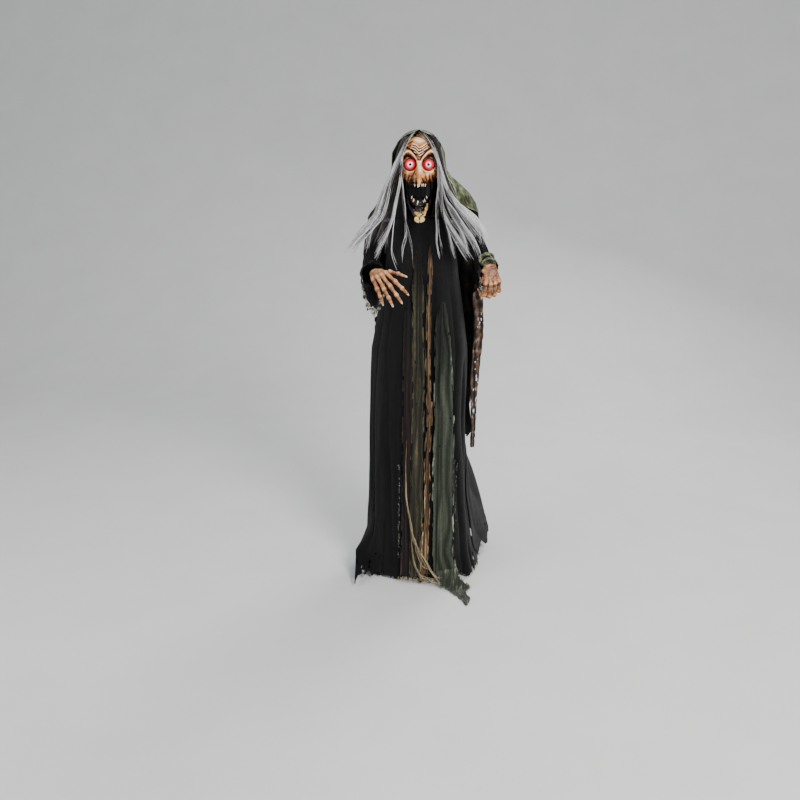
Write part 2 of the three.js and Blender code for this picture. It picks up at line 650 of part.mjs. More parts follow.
// A bell of cloth round a rod, shut round it at the top; "drop" lets its lower edge hang towards the open end.
function sleeve(from, to, wide, drop) {
  const length = vec(...to).distanceTo(vec(...from));
  const [top, end] = wide;
  const profile = [[6, 0], [top, 0], [(top + end) / 2 + 2, length / 2], [end, length]];
  const inside = [[end - 4, length], [(top + end) / 2 - 2, length / 2], [top - 4, 4], [6, 4]];
  const bell = lathe([...profile, ...inside], 16);
  const turn = new THREE.Quaternion().setFromUnitVectors(vec(0, 0, 1), unit(from, to));
  const position = bell.getAttribute("position");
  for (let i = 0; i < position.count; i++) {
    const point = new THREE.Vector3().fromBufferAttribute(position, i);
    const share = point.z / length;
    point.applyQuaternion(turn);
    const level = unit(from, to).multiplyScalar(share * length);
    const below = Math.max(0, level.z - point.z) / end;
    point.z -= drop * share * below * below;
    position.setXYZ(i, point.x, point.y, point.z);
  }
  return solid(bell.translate(...from));
}

// A point of a hand: distances along the palm, towards the thumb and out of the back of the hand.
function handPoint({ origin, palm, thumb, back }, [p, t, b]) {
  const point = vec(...origin);
  return point.addScaledVector(palm, p).addScaledVector(thumb, t).addScaledVector(back, b);
}

// A finger from its knuckle: each bone turns further towards the palm, and leans towards the thumb.
function finger(frame, knuckle, bones, bends, lean) {
  const points = [handPoint(frame, knuckle)];
  let bend = 0;
  bones.forEach((length, i) => {
    bend += bends[i];
    const ahead = Math.cos(radians(bend)) * Math.cos(radians(lean));
    const down = -Math.sin(radians(bend)) * Math.cos(radians(lean));
    const step = frame.palm.clone().multiplyScalar(ahead).addScaledVector(frame.back, down);
    step.addScaledVector(frame.thumb, Math.sin(radians(lean)));
    points.push(points[i].clone().addScaledVector(step, length));
  });
  return limb(points, [8.5, 8, 6.5, 1.5], 7);
}

// Palm, five fingers and a stub that takes the end of the forearm rod.
function hand(arm, frame, bends) {
  const { fore } = armFrame(arm);
  const ring = (p, wide, thick) =>
    oval(handPoint(frame, [p, 0, 0]), frame.thumb.clone().multiplyScalar(wide), frame.back.clone().multiplyScalar(thick));
  const palm = loft([ring(-2, 15, 12), ring(28, 24, 12), ring(62, 33, 11), ring(76, 28, 8)]);
  const stub = rod(along(arm.wrist, fore, -26), along(arm.wrist, fore, 4), 11, 12);
  const fingers = [
    finger(frame, [66, 24, 0], [46, 32, 26], bends, 16),
    finger(frame, [70, 8, 1], [50, 36, 28], bends, 6),
    finger(frame, [69, -8, 1], [47, 34, 27], bends, -2),
    finger(frame, [64, -23, 0], [38, 26, 24], bends, -9),
    finger(frame, [22, 20, -3], [34, 30, 24], [20, 25, 25], 42),
  ];
  return cut(join(palm, stub, ...fingers), rod(along(arm.wrist, fore, -27), along(arm.wrist, fore, 0.4), ARM_ROD + 0.4, 16));
}

// A hand's frame from the palm's direction and the rough direction of its back.
function handFrame(origin, palmHint, backHint) {
  const palm = vec(...palmHint).normalize();
  const back = vec(...backHint).addScaledVector(palm, -palm.dot(vec(...backHint))).normalize();
  return { origin, palm, back };
}

function addArm(name, side, given, frame, bends) {
  const arm = { shoulder: [side * SHOULDER_X, 0, BAR_HEIGHT], ...given };
  const { upper, fore, axis, knee } = armFrame(arm);
  const parent = group(0, 0, 0);
  const upperLength = vec(...arm.shoulder).distanceTo(vec(...arm.elbow));
  const foreLength = vec(...knee).distanceTo(vec(...arm.wrist));
  const sleeveTop = along(along(arm.shoulder, upper, 24), axis, (-24 * ELBOW_OFFSET) / upperLength);
  const sleeveEnd = along(along(arm.elbow, upper, -42), axis, -ELBOW_OFFSET);
  place(parent, `upper_arm_${name}`, upperArm(arm), BLACK_STEEL);
  place(parent, `forearm_${name}`, forearm(arm), BLACK_STEEL);
  place(parent, `hand_${name}`, hand(arm, frame, bends), SKIN);
  place(parent, `sleeve_upper_${name}`, sleeve(sleeveTop, sleeveEnd, [24, 31], 0), BLACK_CLOTH);
  const cuff = along(knee, fore, 32);
  const mouth = along(knee, fore, foreLength - 42);
  place(parent, `sleeve_lower_${name}`, sleeve(cuff, mouth, [20, 42], arm.drop), BLACK_CLOTH);
}

function addArms() {
  const right = handFrame(ARM_RIGHT.wrist, [0.43, -0.9, -0.05], [-0.39, -0.24, 0.87]);
  right.thumb = right.back.clone().cross(right.palm);
  const left = handFrame(ARM_LEFT.wrist, [0.25, -0.25, -0.93], [0.9, -0.3, 0.25]);
  left.thumb = left.palm.clone().cross(left.back);
  addArm("right", -1, ARM_RIGHT, right, [58, 12, 14]);
  addArm("left", 1, ARM_LEFT, left, [32, 52, 40]);
}

// ---- Clothes: the robe, its hanging panels, a frayed side strip, and the cape.

// Robe sections from the neck down: height, half-width, reach forward, reach back, centre, rear flare.
const ROBE = [
  [1388, 60, 82, 62, 0, 0],
  [1374, 98, 85, 92, 0, 0],
  [1345, 118, 88, 120, 0, 0],
  [1250, 128, 112, 140, 0, 0],
  [1168, 138, 118, 146, 0, 0],
  [1100, 150, 125, 152, 0, 0],
  [900, 184, 128, 158, -6, 0],
  [600, 192, 130, 168, -12, 0],
  [300, 200, 134, 185, -12, 0],
  [100, 216, 145, 225, -4, 0.12],
  [1.5, 238, 158, 270, 0, 0.32],
];

// A point of the robe's outside at an angle round from the front, moved out by a distance.
function robePoint([z, half, front, rear, centre, flare], angle, out) {
  const away = Math.abs(THREE.MathUtils.euclideanModulo(angle - radians(142), 2 * Math.PI));
  const near = Math.min(away, 2 * Math.PI - away);
  const swell = 1 + flare * Math.exp(-((near / 0.5) ** 2));
  const reach = Math.cos(angle) > 0 ? front : rear;
  return vec(
    centre + (half + out) * swell * Math.sin(angle),
    -(reach + out) * swell * Math.cos(angle),
    z,
  );
}

function robe() {
  const grid = (out) =>
    ROBE.map((line) => Array.from({ length: 32 }, (_, i) => robePoint(line, (2 * Math.PI * i) / 32, out)));
  const armholes = rod([-130, 0, BAR_HEIGHT], [130, 0, BAR_HEIGHT], SHOULDER_RADIUS + 5);
  return cut(sheet(grid(0), grid(-4), true), armholes);
}

// A strip of gauze that lies on the front of the robe: rows of [z, x0, x1, lift off the robe].
function frontPanel(table) {
  const between = ROBE.map(([z]) => z).filter((z) => z < table[0][0] && z > table[table.length - 1][0]);
  const heights = [...new Set([...table.map(([z]) => z), ...between])].sort((a, b) => b - a);
  const grid = (out) =>
    heights.map((z) =>
      [0, 1, 2, 3].map((i) => {
        const [, x0, x1, lift] = row(table, z);
        const line = row(ROBE, z);
        const x = lerp(x0, x1, i / 3);
        const angle = Math.asin(THREE.MathUtils.clamp((x - line[4]) / line[1], -0.98, 0.98));
        const point = robePoint(line, angle, out + lift);
        return vec(x, point.y, z);
      }),
    );
  return sheet(grid(9), grid(5), false);
}

const PANEL_OLIVE = [[1300, -14, 30, 0], [700, -14, 32, 0], [300, -14, 34, 0], [30, -12, 34, 0]];
const PANEL_TAN = [[1300, 36, 48, 0], [1100, 36, 56, 0], [700, 38, 58, 0], [300, 38, 60, 0], [60, 38, 60, 0]];
const PANEL_GREEN = [
  [1060, 66, 116, 0],
  [700, 66, 140, 0],
  [400, 66, 142, 0],
  [120, 66, 146, 0],
  [40, 84, 172, 14],
  [6, 130, 214, 60],
];

// Cape sections from the neck down: height, half-width, reach back, centre, half the angle that it wraps round.
const CAPE = [
  [1470, 88, 95, -5, 115],
  [1447, 140, 118, 0, 113],
  [1415, 185, 136, 2, 108],
  [1375, 205, 148, 20, 90],
  [1280, 226, 150, 55, 78],
  [1150, 222, 158, 50, 75],
  [900, 212, 170, 50, 72],
  [650, 205, 185, 50, 70],
  [500, 200, 200, 50, 66],
];

function cape() {
  const grid = (inset) =>
    CAPE.map(([z, half, back, centre, wrap]) =>
      Array.from({ length: 21 }, (_, i) => {
        const angle = radians(lerp(-wrap, wrap, i / 20));
        const drop = z > 1400 ? inset * 0.8 : 0;
        return vec((half - inset) * Math.sin(angle), centre + (back - inset) * Math.cos(angle), z - drop);
      }),
    );
  return sheet(grid(0), grid(5), false);
}

function sideStrip() {
  const rows = [[1085, 204, 40], [950, 210, 34], [800, 206, 30], [650, 200, 22], [500, 196, 16]];
  const grid = (x0, y) => rows.map(([z, x, wide]) => [vec(x - wide / 2, y, z), vec(x + wide / 2, y + x0, z)]);
  return sheet(grid(0, 52), grid(0, 56), false);
}

function addClothes() {
  const clothes = group(0, 0, 0);
  place(clothes, "robe", robe(), BLACK_CLOTH);
  place(clothes, "panel_olive", frontPanel(PANEL_OLIVE), OLIVE_GAUZE);
  place(clothes, "panel_tan", frontPanel(PANEL_TAN), TAN_GAUZE);
  place(clothes, "panel_green", frontPanel(PANEL_GREEN), GREY_GAUZE);
  place(clothes, "side_strip", sideStrip(), TAN_GAUZE);
  place(clothes, "cape", cape(), GREEN_GAUZE);
}

addStand();
addControlBox();
addNeck();
addHead();
addArms();
addClothes();

export default figure;
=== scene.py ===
import json
import math

import bpy
import numpy as np
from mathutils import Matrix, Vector


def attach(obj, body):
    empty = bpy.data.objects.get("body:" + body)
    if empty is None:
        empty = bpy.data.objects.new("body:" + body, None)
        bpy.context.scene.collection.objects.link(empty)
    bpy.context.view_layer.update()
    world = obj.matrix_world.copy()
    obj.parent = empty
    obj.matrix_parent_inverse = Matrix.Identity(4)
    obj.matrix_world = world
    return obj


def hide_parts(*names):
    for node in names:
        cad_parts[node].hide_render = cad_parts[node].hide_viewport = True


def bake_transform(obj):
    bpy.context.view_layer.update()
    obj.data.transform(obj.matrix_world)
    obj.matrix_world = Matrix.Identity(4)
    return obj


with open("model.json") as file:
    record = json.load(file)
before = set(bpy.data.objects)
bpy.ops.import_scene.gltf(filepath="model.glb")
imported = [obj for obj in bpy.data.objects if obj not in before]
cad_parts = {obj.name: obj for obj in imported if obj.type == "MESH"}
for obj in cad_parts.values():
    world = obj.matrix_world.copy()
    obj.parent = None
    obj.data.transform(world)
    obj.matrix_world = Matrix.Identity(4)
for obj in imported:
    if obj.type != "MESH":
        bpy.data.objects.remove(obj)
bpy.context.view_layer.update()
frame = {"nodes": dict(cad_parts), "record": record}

# Lengths in the making of pieces are millimetres, and angles radians unless a name says otherwise.
MM = 0.001
# Thicknesses of the cloths, lace to robe.
LACE_MM, THIN_MM, CLOTH_MM, THICK_MM = 0.9, 1.0, 1.2, 1.4
HEAD_ORIGIN = np.array([0.0, -60.0, 1560.0])
HEAD_YAW = math.radians(8)


# ---- Numbers, noise and distance fields.

def lerp(a, b, t):
    return a + (b - a) * t


def smooth(t):
    t = np.clip(t, 0, 1)
    return t * t * (3 - 2 * t)


def head_to_world(points):
    p = np.asarray(points, float)
    c, s = math.cos(HEAD_YAW), math.sin(HEAD_YAW)
    turned = spots(c * p[..., 0] - s * p[..., 1], s * p[..., 0] + c * p[..., 1], p[..., 2])
    return turned + HEAD_ORIGIN


def noise(points, size, seed=0):
    """Smooth value noise from -1 to 1 with features about size across."""
    q = np.asarray(points, float) / size
    base = np.floor(q).astype(np.int64)
    f = q - base
    f = f * f * (3 - 2 * f)
    total = np.zeros(q.shape[:-1])
    for corner in range(8):
        step = np.array([corner & 1, corner >> 1 & 1, corner >> 2 & 1])
        c = base + step
        h = (c[..., 0] * 374761393 + c[..., 1] * 668265263 + c[..., 2] * 1440662683 + seed * 974711) & 0x7FFFFFFF
        h = ((h ^ (h >> 13)) * 1274126177) & 0x7FFFFFFF
        h = h ^ (h >> 16)
        total += np.prod(np.where(step == 1, f, 1 - f), axis=-1) * (h & 0xFFFF) / 32767.5
    return total - 1


def fractal(points, size, seed=0, octaves=3):
    return sum(noise(points, size / 2 ** i, seed + i) / 2 ** i for i in range(octaves))


def smooth_min(a, b, k):
    h = np.maximum(k - np.abs(a - b), 0) / k
    return np.minimum(a, b) - h * h * k / 4


def capsule(p, a, b, ra, rb):
    a, b = np.asarray(a, float), np.asarray(b, float)
    ab = b - a
    t = np.clip(((p - a) @ ab) / (ab @ ab), 0, 1)
    return np.linalg.norm(p - a - t[:, None] * ab, axis=1) - (ra + (rb - ra) * t)


def chain(p, stops, radii, k=4.0):
    field = None
    for i in range(len(stops) - 1):
        part = capsule(p, stops[i], stops[i + 1], radii[i], radii[i + 1])
        field = part if field is None else smooth_min(field, part, k)
    return field


def egg(p, centre, radii):
    q = p - np.asarray(centre, float)
    r = np.asarray(radii, float)
    k0 = np.linalg.norm(q / r, axis=1)
    k1 = np.linalg.norm(q / (r * r), axis=1) + 1e-9
    return k0 * (k0 - 1) / k1


def line_distance(x, z, line):
    """Distance in the front view from points to a line of (x, z) stops."""
    best = np.full(x.shape, 1e9)
    for (ax, az), (bx, bz) in zip(line[:-1], line[1:]):
        dx, dz = bx - ax, bz - az
        t = np.clip(((x - ax) * dx + (z - az) * dz) / (dx * dx + dz * dz), 0, 1)
        best = np.minimum(best, np.hypot(x - ax - t * dx, z - az - t * dz))
    return best


def surface_nets(field, low, step):
    """A closed quad mesh of where a sampled field crosses zero."""
    cells = np.array(field.shape) - 1
    total = np.zeros((int(np.prod(cells)), 3))
    count = np.zeros(int(np.prod(cells)))
    strides = np.array([cells[1] * cells[2], cells[2], 1])
    corners = []
    for axis in range(3):
        o1, o2 = (axis + 1) % 3, (axis + 2) % 3
        first = [slice(None)] * 3
        second = [slice(None)] * 3
        first[axis], second[axis] = slice(0, -1), slice(1, None)
        for o in (o1, o2):
            first[o] = second[o] = slice(1, -1)
        a, b = field[tuple(first)], field[tuple(second)]
        cross = (a < 0) != (b < 0)
        at = np.argwhere(cross)
        at[:, o1] += 1
        at[:, o2] += 1
        position = at.astype(float)
        position[:, axis] += a[cross] / (a[cross] - b[cross])
        ring = []
        for d1, d2 in ((-1, -1), (0, -1), (0, 0), (-1, 0)):
            cell = at.copy()
            cell[:, o1] += d1
            cell[:, o2] += d2
            key = cell @ strides
            ring.append(key)
            for k in range(3):
                total[:, k] += np.bincount(key, position[:, k], minlength=len(count))
            count += np.bincount(key, minlength=len(count))
        ring = np.stack(ring, 1)
        flip = ~(a[cross] < 0)
        ring[flip] = ring[flip][:, ::-1]
        corners.append(ring)
    quads = np.concatenate(corners)
    used, faces = np.unique(quads, return_inverse=True)
    verts = total[used] / count[used][:, None] * step + np.asarray(low, float)
    return verts, faces.reshape(quads.shape)


def sculpt(low, high, step, rough, fine, band=14.0):
    """Meshes a shape: rough gives a cheap field everywhere, fine refines it near the surface."""
    axes = [np.arange(a, b + step, step) for a, b in zip(low, high)]
    grid = np.stack(np.meshgrid(*axes, indexing="ij"), -1).reshape(-1, 3)
    field = rough(grid)
    near = np.abs(field) < band
    field[near] = fine(grid[near], field[near])
    shape = [len(a) for a in axes]
    field = field.reshape(shape)
    for axis in range(3):
        side = [slice(None)] * 3
        for end in (0, -1):
            side[axis] = end
            field[tuple(side)] = np.maximum(field[tuple(side)], 1.0)
    return surface_nets(field, low, step)


def edges_of(faces):
    e = np.concatenate([faces[:, [0, 1]], faces[:, [1, 2]], faces[:, [2, 3]], faces[:, [3, 0]]])
    return np.unique(np.sort(e, axis=1), axis=0)


def vertex_normals(verts, faces):
    face_n = np.cross(verts[faces[:, 2]] - verts[faces[:, 0]], verts[faces[:, 3]] - verts[faces[:, 1]])
    total = np.zeros_like(verts)
    for c in range(4):
        for k in range(3):
            total[:, k] += np.bincount(faces[:, c], face_n[:, k], minlength=len(verts))
    return total / (np.linalg.norm(total, axis=1, keepdims=True) + 1e-12)


def spread(values, edges, rounds):
    """Averages a value over neighbouring points, a number of times."""
    n = len(values)
    degree = np.bincount(edges.ravel(), minlength=n)
    for _ in range(rounds):
        near = np.bincount(edges[:, 0], values[edges[:, 1]], n) + np.bincount(edges[:, 1], values[edges[:, 0]], n)
        values = 0.5 * values + 0.5 * near / np.maximum(degree, 1)
    return values


def cavity(verts, faces, rounds=3):
    """How far each point stands out of the surface round it: above zero on ridges, below in hollows."""
    edges = edges_of(faces)
    smoothed = np.stack([spread(verts[:, k], edges, rounds) for k in range(3)], 1)
    return spread(np.sum((verts - smoothed) * vertex_normals(verts, faces), axis=1), edges, 2)


# ---- Meshes.

def spots(x, y, z):
    """Points from three coordinates, each a number or an array, spread to one shape."""
    return np.stack(np.broadcast_arrays(x, y, z), -1)


def add_mesh(name, verts, faces, look, attributes=None):
    mesh = bpy.data.meshes.new(name)
    faces = faces.tolist() if isinstance(faces, np.ndarray) else faces
    mesh.from_pydata((np.asarray(verts, float) * MM).tolist(), [], faces)
    for key, values in (attributes or {}).items():
        mesh.attributes.new(key, "FLOAT", "POINT").data.foreach_set("value", np.asarray(values, np.float32))
    mesh.polygons.foreach_set("use_smooth", [True] * len(mesh.polygons))
    mesh.materials.append(look)
    mesh.update()
    piece = bpy.data.objects.new(name, mesh)
    bpy.context.scene.collection.objects.link(piece)
    return piece


def tubes(paths, radii, sides=3, flat=1.0):
    """Closed tapering strands along paths (strands, stops, 3), with radii (strands, stops)."""
    paths = np.asarray(paths, float)
    n, m = paths.shape[:2]
    radii = np.broadcast_to(radii, (n, m))
    tangent = np.gradient(paths, axis=1)
    tangent /= np.linalg.norm(tangent, axis=2, keepdims=True) + 1e-9
    hint = np.where(np.abs(tangent[..., 1:2]) > 0.9, [1.0, 0.0, 0.0], [0.0, 1.0, 0.0])
    across = np.cross(tangent, hint)
    across /= np.linalg.norm(across, axis=2, keepdims=True) + 1e-9
    up = np.cross(across, tangent)
    turn = 2 * np.pi * np.arange(sides) / sides
    ring = across[:, :, None] * np.cos(turn)[:, None] + up[:, :, None] * (flat * np.sin(turn))[:, None]
    verts = (paths[:, :, None] + ring * radii[:, :, None, None]).reshape(-1, 3)
    s, i, k = np.meshgrid(np.arange(n), np.arange(m - 1), np.arange(sides), indexing="ij")
    a = (s * m + i) * sides + k
    b = (s * m + i) * sides + (k + 1) % sides
    quads = np.stack([a, a + sides, b + sides, b], -1).reshape(-1, 4).tolist()
    caps = []
    for strand in range(n):
        start, end = strand * m * sides, ((strand + 1) * m - 1) * sides
        caps.append([start + k for k in range(sides)])
        caps.append([end + k for k in reversed(range(sides))])
    return verts, quads + caps


def cloth(name, grid, look, thick, keep, wrap, tone, out=1.0):
    """A closed sheet of cloth from a grid of points (rows, columns, 3); keep says which cells are cloth,
    wrap closes it into a tube, and out is -1 where the rows and columns turn the other way."""
    grid = np.asarray(grid, float)
    rows, cols = grid.shape[:2]
    down = np.gradient(grid, axis=0)
    if wrap:
        across = (np.roll(grid, -1, 1) - np.roll(grid, 1, 1)) / 2
    else:
        across = np.gradient(grid, axis=1)
    normal = np.cross(across, down) * out
    normal /= np.linalg.norm(normal, axis=2, keepdims=True) + 1e-9
    wide = cols if wrap else cols - 1
    i, j = np.meshgrid(np.arange(rows - 1), np.arange(wide), indexing="ij")
    a, b = i * cols + j, i * cols + (j + 1) % cols
    quads = np.stack([a, b, b + cols, a + cols], -1)
    if out < 0:
        quads = quads[..., ::-1]
    quads = quads[keep] if keep is not None else quads.reshape(-1, 4)
    n = rows * cols
    flat = grid.reshape(-1, 3)
    normal = normal.reshape(-1, 3) * thick / 2
    first = np.concatenate([quads[:, [k, (k + 1) % 4]] for k in range(4)])
    key, back = first[:, 0] * n + first[:, 1], first[:, 1] * n + first[:, 0]
    rim = first[~np.isin(key, back)]
    walls = np.stack([rim[:, 1], rim[:, 0], rim[:, 0] + n, rim[:, 1] + n], 1)
    faces = np.concatenate([quads, quads[:, ::-1] + n, walls])
    verts = np.concatenate([flat + normal, flat - normal])
    used, faces_used = np.unique(faces, return_inverse=True)
    tone = np.clip(np.asarray(tone, float).reshape(-1), 0, 1)
    run_u = np.cumsum(np.pad(np.linalg.norm(np.diff(grid, axis=1), axis=2), ((0, 0), (1, 0))), 1)
    run_v = np.cumsum(np.pad(np.linalg.norm(np.diff(grid, axis=0), axis=2), ((1, 0), (0, 0))), 0)
    mean_u = np.broadcast_to(run_u.mean(0), run_u.shape)
    values = {"tone": np.tile(tone, 2)[used], "weave_u": np.tile(mean_u.reshape(-1), 2)[used],
              "weave_v": np.tile(run_v.reshape(-1), 2)[used]}
    return add_mesh(name, verts[used], faces_used.reshape(faces.shape), look, values)


def resample(stops, count):
    """Points spaced evenly by share along a smooth curve through stops."""
    stops = np.asarray(stops, float)
    run = np.r_[0, np.cumsum(np.linalg.norm(np.diff(stops[:, :3], axis=0), axis=1))]
    run /= run[-1]
    at = np.linspace(0, 1, count)
    slope = np.gradient(stops, run, axis=0)
    k = np.clip(np.searchsorted(run, at) - 1, 0, len(run) - 2)
    h = (run[k + 1] - run[k])[:, None]
    t = ((at - run[k])[:, None]) / h
    p0, p1, m0, m1 = stops[k], stops[k + 1], slope[k] * h, slope[k + 1] * h
    return ((2 * t**3 - 3 * t**2 + 1) * p0 + (t**3 - 2 * t**2 + t) * m0
            + (-2 * t**3 + 3 * t**2) * p1 + (t**3 - t**2) * m1)


def hang_threads(name, roots, directions, lengths, radius, look, seed, tones=None):
    """Loose threads that leave roots along directions, then hang."""
    stops = 9
    rng = np.random.default_rng(seed)
    roots, directions = np.asarray(roots, float), np.asarray(directions, float)
    lengths = np.broadcast_to(lengths, len(roots))
    t = np.linspace(0, 1, stops)[None, :, None]
    wander = rng.normal(0, 1, (len(roots), 1, 3)) * [0.16, 0.16, 0.03]
    curl = rng.normal(0, 1, (len(roots), 1, 3)) * [0.05, 0.05, 0.02]
    fall = np.array([0, 0, -1.0])
    heading = lerp(directions[:, None], fall + wander, smooth(t * 1.8)) + curl * np.sin(9 * t)
    heading /= np.linalg.norm(heading, axis=2, keepdims=True)
    steps = heading * lengths[:, None, None] / (stops - 1)
    paths = roots[:, None] + np.cumsum(steps, 1) - steps[:, :1]
    verts, faces = tubes(paths, radius * (1 - 0.75 * t[..., 0]))
    tone = rng.uniform(0, 1, len(roots)) if tones is None else tones
    return add_mesh(name, verts, faces, look, {"tone": np.repeat(tone, stops * 3)})


# ---- Materials.

def colour(r, g, b):
    """A linear colour from 8-bit display values."""
    shares = (r / 255, g / 255, b / 255)
    return tuple(c / 12.92 if c <= 0.04045 else ((c + 0.055) / 1.055) ** 2.4 for c in shares) + (1,)


def dyes(*stops):
    """Ramp stops from rows of place, red, green and blue."""
    return [(at, colour(*rgb)) for at, *rgb in stops]


class Nodes:
    def __init__(self, name):
        self.material = bpy.data.materials.new(name)
        self.material.use_nodes = True
        self.tree = self.material.node_tree
        self.tree.nodes.clear()
        self.shader = self.add("ShaderNodeBsdfPrincipled")
        output = self.add("ShaderNodeOutputMaterial")
        self.join(self.shader.outputs[0], output.inputs[0])
        self.place = self.add("ShaderNodeTexCoord").outputs["Object"]

    def add(self, kind, **values):
        node = self.tree.nodes.new(kind)
        for key, value in values.items():
            setattr(node, key, value)
        return node

    def join(self, output, socket):
        self.tree.links.new(output, socket)

    def feed(self, node, slot, value):
        socket = node.inputs[slot]
        if isinstance(value, bpy.types.NodeSocket):
            self.join(value, socket)
        else:
            socket.default_value = value

    def math(self, operation, a, b=0.0, clamp=False):
        node = self.add("ShaderNodeMath", operation=operation, use_clamp=clamp)
        self.feed(node, 0, a)
        self.feed(node, 1, b)
        return node.outputs[0]

    def attribute(self, name):
        return self.add("ShaderNodeAttribute", attribute_name=name).outputs["Fac"]

    def grain(self, scale, detail=4.0, stretch=(1, 1, 1)):
        mapping = self.add("ShaderNodeMapping")
        self.join(self.place, mapping.inputs[0])
        mapping.inputs["Scale"].default_value = stretch
        node = self.add("ShaderNodeTexNoise")
        self.join(mapping.outputs[0], node.inputs["Vector"])
        node.inputs["Scale"].default_value = scale
        node.inputs["Detail"].default_value = detail
        node.inputs["Roughness"].default_value = 0.6
        return node.outputs["Fac"]

    def ramp(self, value, stops):
        node = self.add("ShaderNodeValToRGB")
        self.join(value, node.inputs[0])
        points = node.color_ramp.elements
        while len(points) < len(stops):
            points.new(0.5)
        for point, (at, tint) in zip(points, stops):
            point.position = at
            point.color = tint
        return node.outputs[0]

    def spread(self, value, low, high):
        node = self.add("ShaderNodeMapRange")
        self.join(value, node.inputs[0])
        for slot, v in ((1, 0.25), (2, 0.75), (3, low), (4, high)):
            node.inputs[slot].default_value = v
        return node.outputs[0]

    def bump(self, height, strength, distance):
        node = self.add("ShaderNodeBump")
        node.inputs["Strength"].default_value = strength
        node.inputs["Distance"].default_value = distance
        self.join(height, node.inputs["Height"])
        if self.shader.inputs["Normal"].links:
            self.join(self.shader.inputs["Normal"].links[0].from_socket, node.inputs["Normal"])
        self.join(node.outputs[0], self.shader.inputs["Normal"])

    def set(self, **values):
        names = {"metal": "Metallic", "rough": "Roughness", "specular": "Specular IOR Level", "coat": "Coat Weight",
                 "coat_rough": "Coat Roughness", "sheen": "Sheen Weight", "sheen_rough": "Sheen Roughness",
                 "sheen_tint": "Sheen Tint", "tint": "Base Color", "glow": "Emission Color",
                 "glow_strength": "Emission Strength"}
        for key, value in values.items():
            self.feed(self.shader, names[key], value)
        return self.material


def toned(n, scale, amount, detail=5.0, stretch=(1, 1, 1)):
    """The mesh's tone, which holds its colour and on many pieces painted highlights and painted shade, broken up by
    noise.
    """
    speckle = n.math("MULTIPLY", n.math("SUBTRACT", n.grain(scale, detail, stretch), 0.5), amount)
    return n.math("ADD", n.attribute("tone"), speckle, True)


def skin_look(name, stops, rough=(0.3, 0.55)):
    n = Nodes(name)
    tone = toned(n, 130, 0.45)
    pores = n.grain(900, 3)
    n.bump(n.grain(170, 6), 0.35, 0.0016)
    n.bump(pores, 0.25, 0.0006)
    return n.set(tint=n.ramp(tone, stops), rough=n.spread(n.grain(60), *rough), specular=0.45)


def cloth_look(name, stops, pitch=0.0022, speckle=(240, 0.5), rough=0.92, sheen=0.15,
               streak=(1, 1, 1), blotch=None):
    """Open-weave cloth: threads both ways that vary in weight, and dye that wanders."""
    n = Nodes(name)
    turns = 2 * math.pi / (pitch / MM)
    slub = n.math("MULTIPLY", n.math("SUBTRACT", n.grain(55, 3, (1, 1, 0.2)), 0.5), 9.0)
    warp = n.math("SINE", n.math("ADD", n.math("MULTIPLY", n.attribute("weave_u"), turns), slub))
    weft = n.math("SINE", n.math("ADD", n.math("MULTIPLY", n.attribute("weave_v"), turns), slub))
    threads = n.math("MAXIMUM", warp, weft)
    fuzz = n.grain(1400, 3)
    n.bump(threads, 0.55, 0.0009)
    n.bump(fuzz, 0.35, 0.0008)
    tone = toned(n, speckle[0], speckle[1], 6.0, streak)
    blotch = speckle[1] if blotch is None else blotch
    patches = n.math("MULTIPLY", n.math("SUBTRACT", n.grain(24, 4, streak), 0.5), blotch)
    woven = n.math("MULTIPLY", threads, 0.09)
    total = n.math("ADD", n.math("ADD", tone, patches), woven, True)
    return n.set(tint=n.ramp(total, stops), rough=n.spread(fuzz, rough - 0.06, rough), specular=0.12,
                 sheen=sheen, sheen_rough=0.5)


def strand_look(name, stops, rough=0.5, specular=0.35):
    n = Nodes(name)
    tone = toned(n, 160, 0.3, 4.0, (1, 1, 0.12))
    n.bump(n.grain(2400, 2, (1, 1, 0.1)), 0.3, 0.0004)
    return n.set(tint=n.ramp(tone, stops), rough=n.spread(n.grain(300), rough, rough + 0.15), specular=specular)


def solid_look(name, dark, light, scale=60, rough=(0.35, 0.5), metal=0.0, bump=(900, 0.12, 0.0003), stretch=(1, 1, 1),
               specular=0.5):
    """Moulded or metal surface: slight mottling, fine grain and worn patches."""
    n = Nodes(name)
    patches = n.grain(scale, 5, stretch)
    n.bump(n.grain(bump[0], 3, stretch), bump[1], bump[2])
    return n.set(tint=n.ramp(patches, dyes((0.3, *dark), (0.7, *light))), rough=n.spread(n.grain(scale * 2.3), *rough),
                 metal=metal, specular=specular)


SKIN_STOPS = dyes((0.02, 22, 8, 5), (0.24, 92, 42, 22), (0.5, 198, 122, 62),
                  (0.74, 232, 176, 112), (0.98, 250, 236, 208))
HAND_STOPS = dyes((0.02, 34, 17, 9), (0.28, 112, 66, 36), (0.52, 182, 122, 76),
                  (0.76, 222, 174, 124), (0.98, 248, 226, 186))
CHIN_STOPS = dyes((0.05, 10, 8, 6), (0.3, 74, 58, 24), (0.52, 186, 142, 72),
                  (0.76, 222, 206, 130), (0.98, 250, 240, 196))
BLACK_STOPS = dyes((0.1, 5, 5, 6), (0.55, 14, 14, 16), (0.8, 26, 26, 28), (1.0, 70, 68, 62))
HOOD_STOPS = dyes((0.08, 10, 11, 9), (0.32, 52, 46, 34), (0.52, 84, 94, 66),
                  (0.74, 136, 144, 110), (0.95, 214, 216, 184))
OLIVE_STOPS = dyes((0.08, 9, 9, 7), (0.45, 36, 35, 25), (0.7, 62, 59, 43), (0.95, 112, 102, 76))
TAN_STOPS = dyes((0.06, 20, 14, 9), (0.42, 66, 48, 32), (0.7, 112, 88, 60), (0.97, 206, 182, 140))
GREEN_STOPS = dyes((0.08, 7, 8, 7), (0.42, 38, 42, 34), (0.7, 74, 79, 66), (0.97, 176, 178, 156))
